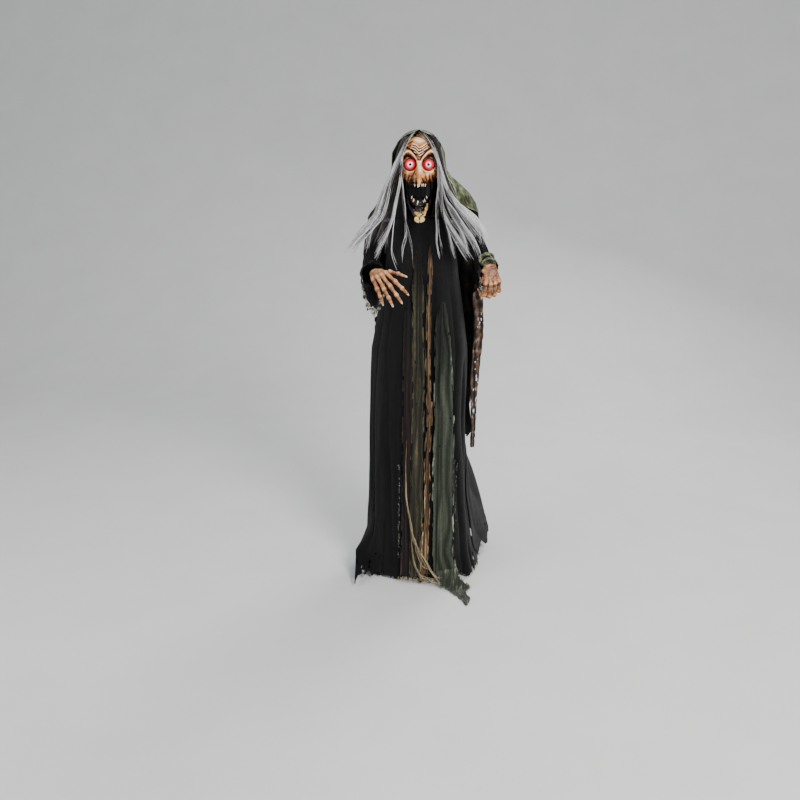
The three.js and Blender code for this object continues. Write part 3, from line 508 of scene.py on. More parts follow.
STRIP_STOPS = dyes((0.1, 12, 9, 8), (0.42, 50, 40, 34), (0.7, 98, 76, 64), (0.97, 184, 158, 136))
MAROON_STOPS = dyes((0.1, 8, 6, 6), (0.5, 24, 15, 14), (0.8, 46, 31, 27), (1.0, 110, 90, 70))
HAIR_STOPS = dyes((0.04, 36, 31, 29), (0.3, 92, 86, 84), (0.6, 188, 187, 190), (0.95, 240, 240, 242))
LACE_STOPS = dyes((0.1, 12, 12, 13), (0.5, 48, 47, 45), (0.8, 150, 146, 136), (1.0, 220, 216, 204))

skin = skin_look("mask_latex", SKIN_STOPS)
hand_skin = skin_look("hand_latex", HAND_STOPS, (0.35, 0.6))
chin_skin = skin_look("chin_latex", CHIN_STOPS)
black_cloth = cloth_look("robe_black", BLACK_STOPS, 0.0026, (60, 0.3), 0.95, 0.08)
hood_gauze = cloth_look("hood_gauze", HOOD_STOPS, 0.0030, (150, 0.8), streak=(1, 1, 0.5), blotch=0.3)
olive_gauze = cloth_look("panel_olive_gauze", OLIVE_STOPS, 0.0026, (260, 0.55), streak=(1, 1, 0.22), blotch=0.3)
tan_gauze = cloth_look("panel_tan_gauze", TAN_STOPS, 0.0026, (260, 0.6), streak=(1, 1, 0.22), blotch=0.4)
green_gauze = cloth_look("panel_green_gauze", GREEN_STOPS, 0.0026, (320, 0.5), streak=(1, 1, 0.5), blotch=0.14)
strip_gauze = cloth_look("side_strip_gauze", STRIP_STOPS, 0.0026, (90, 0.8))
maroon_cloth = cloth_look("underpanel_maroon", MAROON_STOPS, 0.0024, (90, 0.4), streak=(1, 1, 0.18))
lace = cloth_look("lace_cuff", LACE_STOPS, 0.0040, (160, 0.9))
hair_look = strand_look("hair_grey", HAIR_STOPS)
PALE_STOPS = dyes((0.1, 52, 42, 30), (0.5, 134, 116, 84), (1.0, 222, 208, 172))
thread_pale = strand_look("thread_pale", PALE_STOPS, 0.8, 0.1)
thread_green = strand_look("thread_green", GREEN_STOPS, 0.8, 0.1)
lace_thread = strand_look("lace_thread", LACE_STOPS, 0.8, 0.1)


# ---- The mask, in the head's own frame: +X to the figure's left, -Y forward, eyes at height 0.

MASK_ROWS = [(-68, 56, 74), (-45, 64, 76), (-15, 72, 78), (15, 72, 81), (50, 66, 76), (80, 50, 52), (92, 28, 27)]
EYE_X, EYE_Y, EYE_RADIUS = 31.0, -60.0, 20.0
NOSE = [(0, -70, 12), (0, -84, 2), (0, -104, -14), (0, -122, -32), (0, -136, -52), (-1, -142, -76)]
BROWS = [[(-56, 32), (-47, 41), (-35, 44), (-24, 36), (-13, 23), (-5, 8)],
         [(57, 30), (47, 41), (37, 45), (25, 37), (13, 24), (3, 8)]]
CHEVRONS = [[(-24, 67), (-12, 64), (-2, 54), (9, 58), (23, 68)], [(-26, 60), (-13, 56), (-2, 45), (9, 50), (24, 61)],
            [(-27, 53), (-14, 47), (-2, 36), (10, 42), (25, 53)], [(-17, 40), (-8, 37), (-1, 28), (7, 32), (14, 39)]]
V_CREASES = [[(-42, 54), (-27, 46), (-13, 30), (-5, 15)], [(36, 52), (24, 43), (11, 28), (3, 15)]]
SOCKETS = [[(-55, 19), (-44, 29), (-30, 27), (-15, 14)], [(55, 18), (45, 29), (32, 28), (15, 14)]]
FOLDS = [[(-35, -36), (-39, -52)], [(-27, -38), (-31, -56)], [(-48, -32), (-52, -52)],
         [(-14, -20), (-21, -34), (-23, -56)],
         [(34, -34), (36, -58)], [(44, -30), (47, -52)], [(54, -22), (53, -50)], [(14, -22), (21, -34), (25, -56)]]
CROWS_FEET = [[(-52, 4), (-66, 10)], [(-52, -5), (-66, -8)], [(52, 4), (66, 10)], [(52, -5), (66, -9)],
              [(-48, 52), (-30, 62)], [(44, 54), (30, 63)], [(-40, 66), (-24, 76)], [(38, 68), (24, 77)]]


def eye_distance(x, z):
    return np.minimum(np.hypot(x - EYE_X, z), np.hypot(x + EYE_X, z))


def mask_base(p):
    z = np.array([r[0] for r in MASK_ROWS], float)
    half = np.interp(p[:, 2], z, [r[1] for r in MASK_ROWS])
    reach = np.interp(p[:, 2], z, [r[2] for r in MASK_ROWS])
    x, y = p[:, 0], p[:, 1] - 2
    e = np.sqrt((x / half) ** 2 + (y / reach) ** 2) + 1e-9
    return (e - 1) * e / (np.sqrt((x / half ** 2) ** 2 + (y / reach ** 2) ** 2) + 1e-9)


def mask_lift_and_painted_light(p):
    """How far wrinkles and ridges lift the mask, and its tone with painted light: painted highlights on ridges, brows,
    lids, forehead, nose bridge and cheeks, and painted shade in creases, sockets, folds, under the cheeks and down the
    sides.
    """
    x, z = p[:, 0], p[:, 2]
    front = smooth((-p[:, 1] - 6) / 18)
    lift, tone = np.zeros(len(p)), np.full(len(p), 0.5)

    def line(lines, width, height, light, light_width=None):
        nonlocal lift, tone
        for stops in lines:
            d = line_distance(x, z, stops)
            lift += height * np.exp(-(d / width) ** 2)
            tone += light * np.exp(-(d / (light_width or width)) ** 2)

    # Ridges are painted lighter, and creases, sockets, folds and crow's feet darker: painted highlights and painted
    # shade.
    line(BROWS, 6.5, 8.5, 0.42, 3.6)
    line(CHEVRONS, 2.3, 2.6, 0.4, 1.7)
    line([[(a, b - 4.2) for a, b in c] for c in CHEVRONS], 2.0, -2.6, -0.42)
    line(V_CREASES, 4.0, -5.0, -0.55, 3.6)
    line(SOCKETS, 6.0, -6.0, -0.5, 6.0)
    line(FOLDS, 3.0, -2.6, -0.3, 3.2)
    line(CROWS_FEET, 2.2, -1.8, -0.25)
    # A raised lower lid round each eye, painted lighter, and a darker ring at the eye hole: painted highlight and
    # painted shade.
    ring = eye_distance(x, z)
    lift += 2.6 * np.exp(-((ring - 24.5) / 2.6) ** 2) * smooth((8 - z) / 12)
    lift -= 2.2 * np.exp(-((ring - 30) / 2.4) ** 2) * smooth((2 - z) / 10)
    tone += 0.24 * np.exp(-((ring - 25) / 2.2) ** 2) * smooth((2 - z) / 10)
    tone -= 0.32 * np.exp(-((ring - 21) / 2.4) ** 2)
    # Painted highlights on the forehead, down the nose bridge and along the cheeks; painted shade below the cheeks and
    # towards the sides.
    tone += 0.55 * np.exp(-(x / 19) ** 2 - ((z - 82) / 12) ** 2)
    tone += 0.5 * np.exp(-(line_distance(x, z, [(-1, 7), (0, -6), (3, -19)]) / 5.5) ** 2)
    tone += 0.3 * np.exp(-(line_distance(x, z, [(10, -26), (30, -32), (44, -20)]) / 6) ** 2)
    tone += 0.22 * np.exp(-(line_distance(x, z, [(-14, -24), (-40, -28)]) / 5) ** 2)
    tone -= 0.28 * smooth((-38 - z) / 20) * smooth((abs(x) - 6) / 6)
    tone -= 0.3 * smooth((np.abs(x) - 50) / 14)
    return lift * front, tone


def torn_edge(x):
    """Height of the mask's torn lower edge across the face."""
    saw = np.abs(((x + 6) / 21) % 1 - 0.45) / 0.55
    return -58 + 20 * saw ** 1.6 + 2.5 * np.sin(x * 0.9)


def mask_field(p, _):
    x, z = p[:, 0], p[:, 2]
    plain = mask_base(p)
    lift, _tone = mask_lift_and_painted_light(p)
    grain = 0.35 * fractal(p, 9, 5, 2) + 0.5 * noise(p, 26, 9)
    skin_field = plain - lift - grain
    skin_field = np.maximum(skin_field, torn_edge(x) - z)
    for side in (-1, 1):
        skin_field = smooth_min(skin_field, egg(p, (side * 40, -50, -28), (14, 15, 9)), 9)
    shell = np.maximum(skin_field, -(plain + 5.0))
    nose = chain(p, NOSE, [6.5, 7.0, 7.8, 8.8, 6.0, 1.5], 5)
    nose = smooth_min(nose, chain(p, [(0, -70, -16), (0, -88, -32), (0, -106, -42)], [14, 13, 9], 6), 6)
    for side in (-1, 1):
        nose = smooth_min(nose, egg(p, (side * 12, -100, -40), (8.5, 15, 9)), 5)
        nose = -smooth_min(-nose, egg(p, (side * 10.5, -110, -49), (4.4, 8, 5)), 3)
    nose += 0.9 * np.exp(-((z + 22 + 0.06 * x ** 2) / 1.6) ** 2) - 0.35 * fractal(p, 6, 3, 2)
    whole = smooth_min(shell, nose, 6)
    hole = np.where(p[:, 1] < -20, EYE_RADIUS + 0.9 - eye_distance(x, z), -50)
    whole = np.maximum(whole, hole)
    whole = np.maximum(whole, z - 91)
    return np.maximum(whole, p[:, 1] - 8)


def make_mask():
    verts, faces = sculpt((-84, -152, -72), (84, 14, 98), 1.5,
                          lambda p: np.minimum(np.minimum(mask_base(p), chain(p, NOSE, [9, 12, 15, 15, 12, 6])),
                                               capsule(p, np.array([0, -76, -24.0]), np.array([0, -104, -42.0]), 18,
                                                       20)), mask_field, 16)
    relief = cavity(verts, faces)
    # Lighter on ridges and darker in hollows from the relief, and darker towards the back where the mask turns away:
    # painted highlights and painted shade.
    tone = mask_lift_and_painted_light(verts)[1] + 0.85 * relief
    tone += 0.12 * noise(verts, 14, 31) - 0.25 * smooth((verts[:, 1] + 40) / 30)
    return add_mesh("mask_sculpt", head_to_world(verts), faces, skin, {"tone": np.clip(tone, 0, 1)})


# ---- The jaw: a long hooked chin on two arms that rise to the hinge.

def jaw_line():
    """A side of the jaw from the chin back to the hinge."""
    return [(15, -92, -158), (27, -72, -142), (35.5, -44, -124), (38.5, -16, -104), (38.5, -2, -78), (38.5, 7, -50)]


def jaw_field(p, _):
    x, y, z = p.T
    field = chain(p, [(1, -94, -160), (1, -98, -178)], [17, 14.5], 6)
    for side in (-1, 1):
        arm = [(side * a, b, c) for a, b, c in jaw_line()]
        field = smooth_min(field, chain(p, arm, [9, 6.5, 5.5, 4.5, 3.2, 6.5], 6), 8)
        field = smooth_min(field, egg(p, (side * 9.5 + 2, -107, -178), (9, 8, 10)), 4)
    field = smooth_min(field, chain(p, [(14, -103, -164), (22, -98, -148), (27, -92, -130)], [7, 6, 3.6]), 5)
    field = smooth_min(field, chain(p, [(-12, -103, -160), (-18, -98, -148)], [5.5, 3.4]), 5)
    field = smooth_min(field, egg(p, (-6, -106, -160), (7, 5, 6)), 4)
    floor_line = -161 + 0.72 * (y + 92)
    field = smooth_min(field, np.maximum(egg(p, (0, -60, -128), (34, 50, 31)), z - floor_line), 4)
    field = -smooth_min(-field, egg(p, (0, -62, -126), (30, 46, 26)), 6)
    for line, width, depth in ((((-14, -168), (2, -170), (16, -162)), 2.4, 3.2), (((1, -172), (2, -190)), 2.2, 3.2),
                               (((-16, -150), (-4, -153), (10, -148)), 2.0, 2.4), (((8, -158), (18, -172)), 2.0, 2.4)):
        field += depth * np.exp(-(line_distance(x, z, line) / width) ** 2) * smooth((-y - 84) / 12)
    field -= 0.45 * fractal(p, 7, 17, 2)
    hole = np.hypot(y - 8, z + 48) - 3.6
    return np.maximum(field, -hole)


def make_jaw():
    verts, faces = sculpt((-50, -118, -196), (50, 20, -36), 1.5, lambda p: np.minimum(
        chain(p, [(0, -97, -150), (0, -99, -178)], [26, 20]),
        np.minimum(egg(p, (0, -60, -128), (36, 52, 34)),
                   np.minimum(*[chain(p, [(s * a, b, c) for a, b, c in jaw_line()],
                                      [11, 9, 8, 8, 8, 9]) for s in (-1, 1)]))),
        jaw_field, 14)
    # Lighter on ridges and darker in hollows from the relief: painted highlights and shade. Darker up the chin, behind
    # the lower teeth, towards the rear arms and on the figure's right: painted shade in and beside the open mouth.
    tone = 0.5 + 1.0 * cavity(verts, faces) + 0.16 * noise(verts, 12, 41)
    tone += 0.28 * np.exp(-((verts[:, 2] + 188) / 6) ** 2)
    tone += 0.26 * noise(verts, 7, 43) - 0.18 * smooth((verts[:, 2] + 168) / 14)
    tone -= 0.7 * smooth((verts[:, 2] + 156) / 8) * (np.abs(verts[:, 0]) < 19)
    tone -= 0.85 * smooth((verts[:, 1] + 95) / 12) + 0.5 * smooth((-14 - verts[:, 0]) / 8)
    return add_mesh("jaw_sculpt", head_to_world(verts), faces, chin_skin, {"tone": np.clip(tone, 0, 1)})


def tooth(base, tip, radius, lean):
    """A blunt fang from its base to its tip, bowed a little."""
    t = np.linspace(0, 1, 8)[:, None]
    path = lerp(np.array(base, float), np.array(tip, float), t) + np.sin(t * math.pi) * np.array(lean, float)
    swell = np.array([1.0, 1.08, 1.04, 0.94, 0.8, 0.6, 0.36, 0.1])
    return path, radius * swell


def make_teeth(name, teeth, gum, look, gum_radius):
    paths, radii = zip(*[tooth(*t) for t in teeth])
    verts, faces = tubes(np.array(paths), np.array(radii), 9, 0.8)
    tone = np.repeat(np.tile(np.linspace(0.25, 1, 8), len(teeth)), 9)
    gum_path = resample(gum, 40)
    gum_radii = gum_radius * (1 + 0.14 * np.sin(np.arange(40) * 1.9))
    gum_radii[[0, -1]] *= 0.3
    gum_verts, gum_faces = tubes(gum_path[None], gum_radii[None], 10)
    faces = faces + [[i + len(verts) for i in f] for f in gum_faces]
    tone = np.r_[tone, np.zeros(len(gum_verts))]
    return add_mesh(name, head_to_world(np.r_[verts, gum_verts]), faces, look, {"tone": tone})


def horseshoe(half, reach, degrees):
    t = np.radians(degrees)
    return half * np.sin(t), -reach * np.cos(t)


def jaw_rim(y):
    return lerp(-85, -136, -y / 104) + 4


def make_eye(side, name):
    """A lit dome: rings of polar cells, with the distance from its axis as its paint."""
    rings, around = 30, 72
    angle = np.linspace(0, math.pi / 2 + 0.12, rings)
    turn = np.linspace(0, 2 * math.pi, around, endpoint=False)
    shell = []
    for radius, order in ((EYE_RADIUS - 0.4, angle), (EYE_RADIUS - 2.4, angle[::-1])):
        for a in order:
            r = max(radius * math.sin(a), 0.02)
            shell.append(np.stack([r * np.cos(turn), np.full(around, -radius * math.cos(a)), r * np.sin(turn)], 1))
    grid = np.array(shell)
    verts = grid.reshape(-1, 3)
    i, j = np.meshgrid(np.arange(2 * rings - 1), np.arange(around), indexing="ij")
    a, b = i * around + j, i * around + (j + 1) % around
    faces = np.stack([a, a + around, b + around, b], -1).reshape(-1, 4).tolist()
    last = (2 * rings - 1) * around
    faces += [list(range(around)), list(range(last + around - 1, last - 1, -1))]
    off_axis = np.hypot(verts[:, 0], verts[:, 2])
    off_axis[verts[:, 1] > -3] = EYE_RADIUS
    return add_mesh(name, head_to_world(verts + [side * EYE_X, EYE_Y, 0]), faces, eye_look,
                    {"off_axis": off_axis / EYE_RADIUS})


def make_eye_look():
    n = Nodes("eye_lamp")
    ring = n.attribute("off_axis")
    tint = n.ramp(ring, dyes((0.0, 16, 2, 5), (0.22, 24, 3, 8), (0.28, 255, 232, 238), (0.42, 255, 190, 204),
                             (0.5, 228, 24, 58), (0.84, 200, 12, 42), (0.97, 80, 5, 14)))
    n.bump(n.grain(140, 3), 0.08, 0.0008)
    return n.set(tint=tint, glow=tint, glow_strength=0.45, rough=n.spread(n.grain(90), 0.12, 0.22),
                 specular=0.5, coat=0.4)


eye_look = make_eye_look()
n = Nodes("teeth_and_gum")
n.bump(n.grain(420, 4), 0.3, 0.0006)
tooth_look = n.set(tint=n.ramp(toned(n, 200, 0.2), dyes(
    (0.0, 28, 8, 8), (0.12, 64, 22, 20), (0.24, 150, 118, 66), (0.5, 228, 218, 182), (1.0, 255, 252, 240))),
    rough=n.spread(n.grain(120), 0.2, 0.36), specular=0.5)
n = Nodes("tongue_wet")
n.bump(n.grain(520, 5), 0.5, 0.001)
tongue_look = n.set(tint=n.ramp(toned(n, 120, 0.4), dyes(
    (0.1, 40, 12, 14), (0.5, 150, 62, 62), (0.95, 226, 142, 136))),
    rough=n.spread(n.grain(80), 0.16, 0.3), specular=0.55, coat=0.3)

mask = make_mask()
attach(mask, "head")
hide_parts("face_mask")

jaw = make_jaw()
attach(jaw, "jaw")
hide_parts("jaw_shell")

for side, node in ((1, "eye_left"), (-1, "eye_right")):
    eye = make_eye(side, f"{node}_lamp")
    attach(eye, "head")
    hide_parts(node)

UPPER = [(-20, 11, 2.2), (-6, 14, 2.6), (11, 10, 1.9), (17, 11, 2.1), (27, 12, 2.3)]
upper = []
for degrees, length, radius in UPPER:
    x, y = horseshoe(46.5, 67, degrees)
    upper.append(((x, y + 2, -62), (x * 0.94, y - 1, -62 - length), radius, (0, -1.5, 0)))
upper_gum = [(*horseshoe(46.5, 65.5, d), -63 + 1.5 * math.cos(d / 9)) for d in np.linspace(-46, 46, 12)]
upper_teeth = make_teeth("upper_fangs", upper, [(x, y + 2, z) for x, y, z in upper_gum], tooth_look, 4.2)
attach(upper_teeth, "head")
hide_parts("upper_teeth")

LOWER = [(-56, 12, 2.0), (-38, 14, 2.5), (-8, 17, 3.4), (27, 12, 2.2), (38, 13, 2.3), (56, 11, 2.0)]
lower = []
for degrees, length, radius in LOWER:
    x, y = horseshoe(32, 92, degrees)
    lower.append(((x, y - 2, jaw_rim(y) - 8), (x * 0.92, y - 3, jaw_rim(y) - 8 + length), radius, (0, -1.2, 0)))
lower_gum = [(*horseshoe(32, 92, d), 0) for d in np.linspace(-68, 68, 14)]
lower_teeth = make_teeth("lower_fangs", lower, [(x, y - 2, jaw_rim(y) - 9) for x, y, _z in lower_gum], tooth_look, 4.0)
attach(lower_teeth, "jaw")
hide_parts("lower_teeth")


def tongue_field(p, _):
    spine = [(0, -30, -143), (0, -48, -140), (0, -66, -139), (0, -80, -143), (1, -88, -147)]
    field = chain(p * [0.62, 1, 1.3], [(x * 0.62, y, z * 1.3) for x, y, z in spine], [8.5, 9.5, 9, 7, 4], 5)
    field += 1.6 * np.exp(-(p[:, 0] / 1.8) ** 2) * smooth((p[:, 2] + 142) / 4)
    return field - 0.3 * fractal(p, 4, 23, 2)


verts, faces = sculpt((-22, -98, -158), (22, -18, -126), 1.2, lambda p: chain(
    p * [0.62, 1, 1.3], [(0, -30, -186), (0, -88, -190)], [11, 9]), tongue_field)
# The tongue is lighter on ridges and darker in grooves: painted highlights and painted shade.
tongue = add_mesh("tongue_sculpt", head_to_world(verts), faces, tongue_look,
                  {"tone": np.clip(0.5 + 1.1 * cavity(verts, faces), 0, 1)})
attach(tongue, "jaw")
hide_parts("tongue")


# ---- Hair: clumps of fine strands that start under the hood and hang over the shoulders.

# Each clump: stops in the head's frame, width at its root and tip, strands, and how light it is.
CLUMPS_RIGHT = [
    ([(-22, -46, 101), (-50, -62, 60), (-76, -70, 19), (-99, -78, -37), (-119, -84, -82), (-137, -89, -131),
      (-154, -93, -176),
      (-178, -96, -209), (-207, -100, -240), (-236, -102, -272)], 2.6, 12, 76, 0.74),
    ([(-30, -50, 92), (-60, -68, 34), (-80, -76, -14), (-99, -82, -66), (-115, -89, -131), (-132, -93, -176),
      (-164, -97, -213),
      (-198, -102, -252), (-220, -102, -284)], 2.6, 12, 64, 0.66),
    ([(-58, -60, 40), (-63, -74, -33), (-70, -83, -82), (-81, -89, -131), (-91, -93, -176), (-106, -98, -221),
      (-127, -102, -263),
      (-149, -102, -306)], 3, 7, 56, 0.86),
    ([(-34, -44, 88), (-70, -58, 30), (-97, -70, -40), (-124, -80, -120), (-146, -90, -180), (-170, -96, -226),
      (-182, -102, -282)],
     5, 10, 46, 0.5),
    ([(-60, -62, 20), (-66, -76, -60), (-80, -84, -130), (-100, -92, -190), (-116, -98, -240), (-120, -102, -290)], 4,
     12, 26, 0.36),
    ([(-60, -74, -40), (-53, -85, -98), (-48, -90, -147), (-46, -95, -201), (-44, -100, -242), (-55, -102, -284),
      (-57, -102, -322)],
     2, 3, 12, 0.6),
    ([(-60, -76, -70), (-48, -93, -180), (-33, -100, -242), (-21, -102, -284), (-18, -102, -331)], 2, 3, 10, 0.52),
    ([(-66, -78, -60), (-82, -92, -160), (-93, -102, -255), (-96, -102, -288), (-89, -102, -318), (-78, -102, -346)],
     2, 3, 9, 0.56),
    ([(-44, -30, 92), (-70, -28, 40), (-84, -34, -40), (-104, -48, -120), (-132, -64, -200), (-160, -80, -262)], 8, 26,
     110, 0.22),
]
CLUMPS_LEFT = [
    ([(6, -44, 104), (26, -52, 86), (42, -58, 62), (56, -62, 30), (68, -68, -14), (82, -76, -60)], 8, 8, 70, 0.24),
    ([(14, -48, 100), (36, -56, 74), (50, -62, 44), (60, -68, 10), (70, -74, -40), (84, -80, -90)], 7, 8, 56, 0.3),
    ([(44, -58, 60), (60, -68, 20), (70, -74, -10), (82, -79, -46), (100, -84, -92), (130, -89, -134),
      (164, -92, -166),
      (192, -94, -190), (214, -97, -218), (222, -101, -252)], 4, 13, 92, 0.95),
    ([(56, -62, 40), (70, -74, -17), (87, -82, -66), (106, -86, -98), (132, -90, -135), (166, -94, -176),
      (196, -98, -213),
      (220, -101, -242)], 4, 11, 66, 0.72),
    ([(64, -68, 11), (70, -78, -37), (78, -84, -82), (94, -89, -123), (119, -92, -155), (141, -95, -192),
      (171, -99, -234),
      (197, -102, -271), (206, -102, -297)], 4, 11, 66, 0.82),
    ([(66, -70, 0), (69, -83, -82), (76, -89, -131), (90, -92, -172), (107, -96, -205), (128, -100, -238),
      (150, -102, -271),
      (174, -102, -306)], 4, 11, 60, 0.72),
    ([(72, -78, -50), (98, -90, -139), (119, -94, -180), (143, -98, -221), (158, -102, -263), (167, -102, -303)], 3, 8,
     34, 0.66),
    ([(74, -80, -70), (94, -95, -201), (103, -99, -230), (111, -102, -267), (124, -102, -309)], 2, 5, 18, 0.6),
    ([(66, -76, -60), (58, -92, -172), (60, -98, -221), (62, -102, -267), (72, -102, -318)], 2, 3, 14, 0.66),
    ([(68, -78, -80), (67, -97, -213), (75, -102, -267), (82, -102, -303)], 2, 3, 12, 0.58),
    ([(44, -30, 92), (68, -28, 40), (84, -34, -40), (112, -48, -120), (150, -64, -190), (186, -80, -240)], 8, 26, 110,
     0.22),
]


def make_hair(name, clumps, seed, node, shade):
    rng = np.random.default_rng(seed)
    stops = 22
    t = np.linspace(0, 1, stops)[None, :, None]
    paths, tones = [], []
    for line, root, tip, count, light in clumps:
        x, _y, z = line[0]
        start = (0.66 * x, -8, z - 1) if z > 80 else (1.02 * x + 5 * np.sign(x), 16, z + 8)
        guide = resample([start] + line, stops)[None]
        count = int(count * (0.7))
        around = rng.uniform(0, 2 * math.pi, (count, 1, 1))
        out = np.sqrt(rng.uniform(0, 1, (count, 1, 1)))
        bundle = rng.integers(0, 6, (count, 1, 1))
        parting = np.concatenate([np.sin(bundle * 2.4), 0 * bundle, np.cos(bundle * 1.7)],
                                 2) * (tip * 0.8) * smooth(t * 1.3 - 0.35)
        offset = np.concatenate([np.cos(around) * out, 0.55 * np.sin(around) * out,
                                 0.25 * np.sin(around + 2) * out], 2)
        offset = offset * lerp(root, tip * 0.55, t) + parting
        phase = rng.uniform(0, 6.3, (count, 1, 3))
        wave = np.sin(t * rng.uniform(6, 16, (count, 1, 1)) + phase) * [1.3, 0.9, 0.6] * (0.3 + t)
        trim = rng.uniform(0.86, 1.04, (count, 1, 1))
        path = guide + offset + wave
        path = path[:, :1] + (path - path[:, :1]) * lerp(1, trim, t ** 3)
        paths.append(path)
        tones.append(np.clip(light - 0.16 + 0.26 * np.sin(bundle[:, 0, 0] * 2.3) + rng.normal(0, 0.2, count), 0, 1))
    paths = head_to_world(np.concatenate(paths))
    tones = np.concatenate(tones)
    t = t[0, :, 0]
    radii = rng.uniform(0.5, 0.95, (len(paths), 1)) * (1 - 0.5 * t ** 5)[None]
    verts, faces = tubes(paths, radii)
    tone = np.clip(tones[:, None] * (1 - shade[0] * np.exp(-(t / shade[1]) ** 2))[None] + 0.08 * np.sin(9 * t), 0, 1)
    piece = add_mesh(name, verts, faces, hair_look, {"tone": np.repeat(tone.reshape(-1), 3)})
    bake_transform(piece)
    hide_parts(node)
    return piece


make_hair("hair_strands_right", CLUMPS_RIGHT, 11, "hair_right", (0.5, 0.26))
make_hair("hair_strands_left", CLUMPS_LEFT, 12, "hair_left", (0.78, 0.26))


# ---- The robe and what hangs on it.

ROBE_ROWS = np.array([
    (1388, 60, 82, 62, 0, 0), (1374, 98, 85, 92, 0, 0), (1345, 118, 88, 120, 0, 0), (1250, 128, 112, 140, 0, 0),
    (1168, 138, 118, 146, 0, 0), (1100, 150, 125, 152, 0, 0), (900, 184, 128, 158, -6, 0),
    (600, 192, 130, 168, -12, 0),
    (300, 200, 134, 185, -12, 0), (100, 216, 145, 225, -4, 0.12), (1.5, 238, 158, 270, 0, 0.32)])[::-1]
FLARE_AT = math.radians(142)


def robe_line(z):
    return [np.interp(z, ROBE_ROWS[:, 0], ROBE_ROWS[:, k]) for k in range(1, 6)]


def robe_dent(angle, z):
    """How far folds dent the robe, which hangs from its shoulders and gathers as it falls."""
    share = smooth((1330 - z) / 900)
    sway = 0.5 * noise(spots(np.cos(angle) * 2, np.sin(angle) * 2, z / 330), 1.0, 51)
    many = np.abs(np.sin(6.5 * angle + 3.2 * sway + 0.4))
    few = np.abs(np.sin(3.5 * angle + 2.0 * sway + 1.1))
    crease = noise(spots(angle * 9, z / 200, 0), 1.0, 52)
    return (1.5 + 9 * share) * (1 - many ** 0.7) + 8 * share * (1 - few) + (0.8 + 1.6 * share) * (1 + crease)


def robe_point(angle, z, out=0.0, folds=1.0):
    half, front, rear, centre, flare = robe_line(z)
    away = np.abs((angle - FLARE_AT) % (2 * math.pi))
    near = np.minimum(away, 2 * math.pi - away)
    swell = 1 + flare * np.exp(-(near / 0.5) ** 2)
    reach = np.where(np.cos(angle) > 0, front, rear)
    moved = out - folds * robe_dent(angle, z)
    return spots(centre + (half + moved) * swell * np.sin(angle), -(reach + moved) * swell * np.cos(angle), z)


def cells(values):
    """A value at each cell from the values at its corners."""
    return (values[:-1, :-1] + values[1:, :-1] + values[:-1, 1:] + values[1:, 1:]) / 4


def make_robe():
    cols, rows = 280, 200
    z = np.concatenate([np.linspace(1388, 1374, 5)[:-1], np.linspace(1374, 6, rows - 4)])
    angle, height = np.meshgrid(2 * math.pi * np.arange(cols) / cols, z)
    grid = robe_point(angle, height, -0.6)
    ring = spots(np.cos(angle) * 3.4, np.sin(angle) * 3.4, 0)
    ragged = 14 + 22 * noise(ring, 0.5, 61) + 14 * noise(ring, 0.16, 62)
    holes = noise(spots(np.cos(angle) * 150, np.sin(angle) * 150, height / 2.2), 14, 63)
    full = np.concatenate([ragged, ragged[:, :1]], 1)
    worn = np.concatenate([holes, holes[:, :1]], 1)
    high = np.concatenate([height, height[:, :1]], 1)
    low_cells = cells(high)
    keep = (low_cells > cells(full)) & ~((cells(worn) > 0.62) & (low_cells < 170))
    armhole = np.minimum(np.linalg.norm(grid - [120, 0, 1368], axis=2), np.linalg.norm(grid + [120, 0, -1368], axis=2))
    keep &= cells(np.concatenate([armhole, armhole[:, :1]], 1)) > 17
    # Lighter on the crests of the folds and darker in their hollows: painted highlights and painted shade; lighter
    # towards the floor.
    tone = 0.42 + 0.16 * fractal(grid, 120, 64) + 0.1 * (robe_dent(angle, height) < 3)
    tone = tone - 0.02 * robe_dent(angle, height) + 0.18 * smooth((70 - height) / 60)
    return cloth("robe_cloth", grid, black_cloth, THICK_MM, keep, True, tone)


